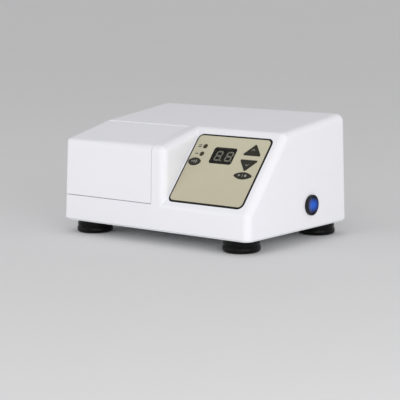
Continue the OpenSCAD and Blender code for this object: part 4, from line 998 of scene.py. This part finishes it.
class AMALGAMATOR_OT_display(bpy.types.Operator):
    """Make the two-digit display and its window"""

    bl_idname = "amalgamator.display"
    bl_label = "Display"

    def execute(self, context):
        pad = context.scene.amalgamator_keypad
        console = Console()
        dressed("display_module", "display_block", 0.2 * MM, material="screen")
        dressed("display_window", "display_pane", 0.25 * MM, 3)
        (x0, x1), (s0, s1), (_, face) = console.span("display_module")
        x, s = (x0 + x1) / 2, (s0 + s1) / 2
        left, lift, thick = 0.95 * MM, 1.0 * MM, 0.05 * MM
        outlines = []
        for side in (-1, 1):
            outlines += digit(pad, x + side * pad.digit_pitch / 2 - left, s + lift)
        mesh = slab(outlines, console, face, face + thick)
        new_piece("display_digits", mesh, "segment", "base")
        (w0, w1), (l0, l1), (back, _) = console.span("display_window")
        gap, lap, low, high = 0.1 * MM, 0.6 * MM, back + 0.02 * MM, back + 0.06 * MM
        mask = ring(
            rounded(x, s, w1 - w0 - gap, l1 - l0 - gap, 2.4 * MM),
            rounded(x, s, x1 - x0 - lap, s1 - s0 - lap, 1.2 * MM), console, low, high)
        new_piece("display_mask", mask, "screen", "base")
        return {"FINISHED"}


class AMALGAMATOR_OT_switch(bpy.types.Operator):
    """Make the round rocker switch"""

    bl_idname = "amalgamator.switch"
    bl_label = "Rocker Switch"

    def execute(self, context):
        dressed("switch_body", "switch_bezel", context.scene.amalgamator_switch.bezel_edge, 3)
        dressed("switch_rocker", "switch_rocker_cap", 0.35 * MM, 3)
        return {"FINISHED"}


class AMALGAMATOR_OT_mixer(bpy.types.Operator):
    """Make the mixing chamber, the arm and the capsule clip"""

    bl_idname = "amalgamator.mixer"
    bl_label = "Mixing Chamber"

    def execute(self, context):
        dressed("mixing_chamber", "chamber_tray", 0.4 * MM)
        screws("chamber_screws", "chamber_tray_screws", UP, 0.6)
        dressed("capsule_arm", "arm_casting", 0.35 * MM)
        dressed("arm_cap", "arm_cap_casting", 0.35 * MM)
        screws("arm_screws", "arm_cap_screws", BACK, 0.9)
        dressed("capsule_clip", "capsule_spring", 0.12 * MM)
        screws("clip_screws", "clip_fixing_screws", DOWN, 0.6)
        dressed("arm_guide", "arm_guide_frame", 0.3 * MM)
        return {"FINISHED"}


class AMALGAMATOR_OT_drive(bpy.types.Operator):
    """Finish the motor and its mounting"""

    bl_idname = "amalgamator.drive"
    bl_label = "Drive"

    def execute(self, context):
        for node in (
                "motor_can", "motor_front_cap", "motor_rear_cap", "wobble_hub", "motor_shaft", "cooling_fan"):
            dressed(node, node + "_finished", 0.25 * MM)
        coat_nodes(
            "motor_magnets", "motor_armature", "motor_cradle", "motor_straps", "hub_screw", "motor_isolators")
        screws("strap_screws", "strap_fixing_screws", UP, 0.7)
        screws("isolator_screws", "isolator_fixing_screws", UP, 0.62)
        return {"FINISHED"}


class AMALGAMATOR_OT_mains(bpy.types.Operator):
    """Make the inlet and the fuse holder on the back"""

    bl_idname = "amalgamator.mains"
    bl_label = "Mains Inlet"

    def execute(self, context):
        dressed("power_inlet", "inlet_body", 0.4 * MM)
        dressed("inlet_pins", "inlet_blades", 0.3 * MM)
        screws("inlet_screws", "inlet_fixing_screws", BACK, 0.62)
        dressed("fuse_holder", "fuse_collar", 0.3 * MM)
        dressed("fuse_cap", "fuse_cap_turned", 0.5 * MM, 3)
        return {"FINISHED"}


class AMALGAMATOR_OT_electronics(bpy.types.Operator):
    """Finish the circuit boards and what stands on them"""

    bl_idname = "amalgamator.electronics"
    bl_label = "Electronics"

    def execute(self, context):
        coat_nodes("power_board", "board_standoffs", "transformer", "capacitors", "control_board")
        screws("board_screws", "board_fixing_screws", tuple(-Console().out), 0.64)
        return {"FINISHED"}


class AMALGAMATOR_OT_stage(bpy.types.Operator):
    """Make the floor, the lights and the camera"""

    bl_idname = "amalgamator.stage"
    bl_label = "Stage"

    def execute(self, context):
        stage = context.scene.amalgamator_stage
        self.floor(stage)
        self.room(context.scene, stage)
        self.lamps(stage)
        self.camera(context.scene, stage)
        context.scene.view_settings.view_transform = "Standard"
        return {"FINISHED"}

    def floor(self, stage):
        """Large pale disc under the object."""
        mesh = bpy.data.meshes.new("floor")
        bm = bmesh.new()
        bmesh.ops.create_circle(bm, cap_ends=True, radius=12, segments=96)
        bm.to_mesh(mesh)
        bm.free()
        g = Finish("floor_paper")
        mesh.materials.append(g.made(
            Base_Color=g.vary(g.noise(0.4, 2.0), linear(stage.floor), 0.985),
            Roughness=0.9 + g.noise(3 * MM, 2.0) * 0.06,
            Specular_IOR_Level=0.1))
        floor = linked("floor", mesh)

    def room(self, scene, stage):
        """World that shows the backdrop's colour and lights the object evenly."""
        world = bpy.data.worlds.new("room")
        world.use_nodes = True
        g = Graph(world.node_tree)
        path = g.node("ShaderNodeLightPath")
        seen = g.out(path, "Is Camera Ray")
        for ray in ("Is Glossy Ray", "Is Transmission Ray"):
            seen = g.math("MAXIMUM", seen, g.out(path, ray))
        light = g.node("ShaderNodeBackground", {}, {"Color": (1, 1, 1), "Strength": stage.ambient})
        shown = g.node("ShaderNodeBackground", {}, {"Color": linear(stage.backdrop), "Strength": 1.0})
        mixed = g.node("ShaderNodeMixShader", {}, {0: seen, 1: light, 2: shown})
        g.node("ShaderNodeOutputWorld", {}, {"Surface": mixed})
        scene.world = world

    def lamps(self, stage):
        """Two soft boxes aimed at the middle of the object, a share of each hidden from reflections."""
        low, high = cad_bounds
        middle = (low + high) / 2
        boxes = (  # name, power, place and size
            ("key_box", stage.key_light, (1.26, -0.89, 0.34), (1.7, 0.75)),
            ("fill_box", stage.fill_light, (-0.9, -1.25, 0.26), (1.0, 0.6)),
        )
        for name, power, place, size in boxes:
            for kind, share in (("bright", stage.glint), ("veiled", 1 - stage.glint)):
                data = bpy.data.lights.new(f"{name}_{kind}", "AREA")
                data.shape = "RECTANGLE"
                data.size, data.size_y = size
                data.energy = power * share
                lamp = linked(data.name, data)
                lamp.location = place
                lamp.rotation_euler = (middle - Vector(place)).to_track_quat("-Z", "Y").to_euler()
                lamp.visible_glossy = kind == "bright"

    def camera(self, scene, stage):
        """Camera at the photograph's place, aimed by its yaw, pitch and roll."""
        ahead = Vector((
            -math.sin(stage.yaw) * math.cos(stage.pitch),
            math.cos(stage.yaw) * math.cos(stage.pitch),
            -math.sin(stage.pitch)))
        right = Vector((math.cos(stage.yaw), math.sin(stage.yaw), 0))
        above = right.cross(ahead)
        cos, sin = math.cos(stage.roll), math.sin(stage.roll)
        right, above = right * cos + above * sin, above * cos - right * sin
        data = bpy.data.cameras.new("camera")
        data.sensor_width = 36
        data.lens = data.sensor_width * stage.focal_px / stage.view_px
        data.shift_x = (stage.view_px / 2 - stage.centre_px[0]) / stage.view_px
        data.shift_y = (stage.centre_px[1] - stage.view_px / 2) / stage.view_px
        data.clip_start, data.clip_end = 0.05, 50
        turn = Matrix((right, above, -ahead)).transposed().to_4x4()
        scene.camera = linked("camera", data)
        scene.camera.matrix_world = Matrix.Translation(stage.eye) @ turn


OPERATORS = (
    AMALGAMATOR_OT_case, AMALGAMATOR_OT_hood, AMALGAMATOR_OT_feet, AMALGAMATOR_OT_keypad,
    AMALGAMATOR_OT_display, AMALGAMATOR_OT_switch, AMALGAMATOR_OT_mixer, AMALGAMATOR_OT_drive,
    AMALGAMATOR_OT_mains, AMALGAMATOR_OT_electronics, AMALGAMATOR_OT_stage)

SETTINGS = (
    ("amalgamator_case", CaseSettings), ("amalgamator_keypad", KeypadSettings),
    ("amalgamator_switch", SwitchSettings), ("amalgamator_feet", FootSettings),
    ("amalgamator_drive", DriveSettings), ("amalgamator_stage", StageSettings))


class AMALGAMATOR_PT_panel(bpy.types.Panel):
    """Sizes, colours and pieces of the amalgamator"""

    bl_idname = "AMALGAMATOR_PT_panel"
    bl_label = "Amalgamator"
    bl_space_type = "VIEW_3D"
    bl_region_type = "UI"
    bl_category = "Amalgamator"

    def draw(self, context):
        for name, group in SETTINGS:
            box = self.layout.box()
            box.label(text=group.__doc__)
            values = getattr(context.scene, name)
            for prop in group.__annotations__:
                box.prop(values, prop)
        for operator in OPERATORS:
            self.layout.operator(operator.bl_idname)


CLASSES = tuple(group for _, group in SETTINGS) + OPERATORS + (AMALGAMATOR_PT_panel,)


def register():
    """Registers the classes and puts the settings on the scene."""
    for cls in CLASSES:
        bpy.utils.register_class(cls)
    for name, group in SETTINGS:
        setattr(bpy.types.Scene, name, PointerProperty(type=group))


def unregister():
    """Takes the settings and the classes away again."""
    for name, _ in SETTINGS:
        delattr(bpy.types.Scene, name)
    for cls in reversed(CLASSES):
        bpy.utils.unregister_class(cls)


def main():
    """Makes every piece and the stage, in order."""
    register()
    bpy.ops.amalgamator.case()
    bpy.ops.amalgamator.hood()
    bpy.ops.amalgamator.feet()
    bpy.ops.amalgamator.keypad()
    bpy.ops.amalgamator.display()
    bpy.ops.amalgamator.switch()
    bpy.ops.amalgamator.mixer()
    bpy.ops.amalgamator.drive()
    bpy.ops.amalgamator.mains()
    bpy.ops.amalgamator.electronics()
    bpy.ops.amalgamator.stage()


if __name__ == "__main__":
    main()
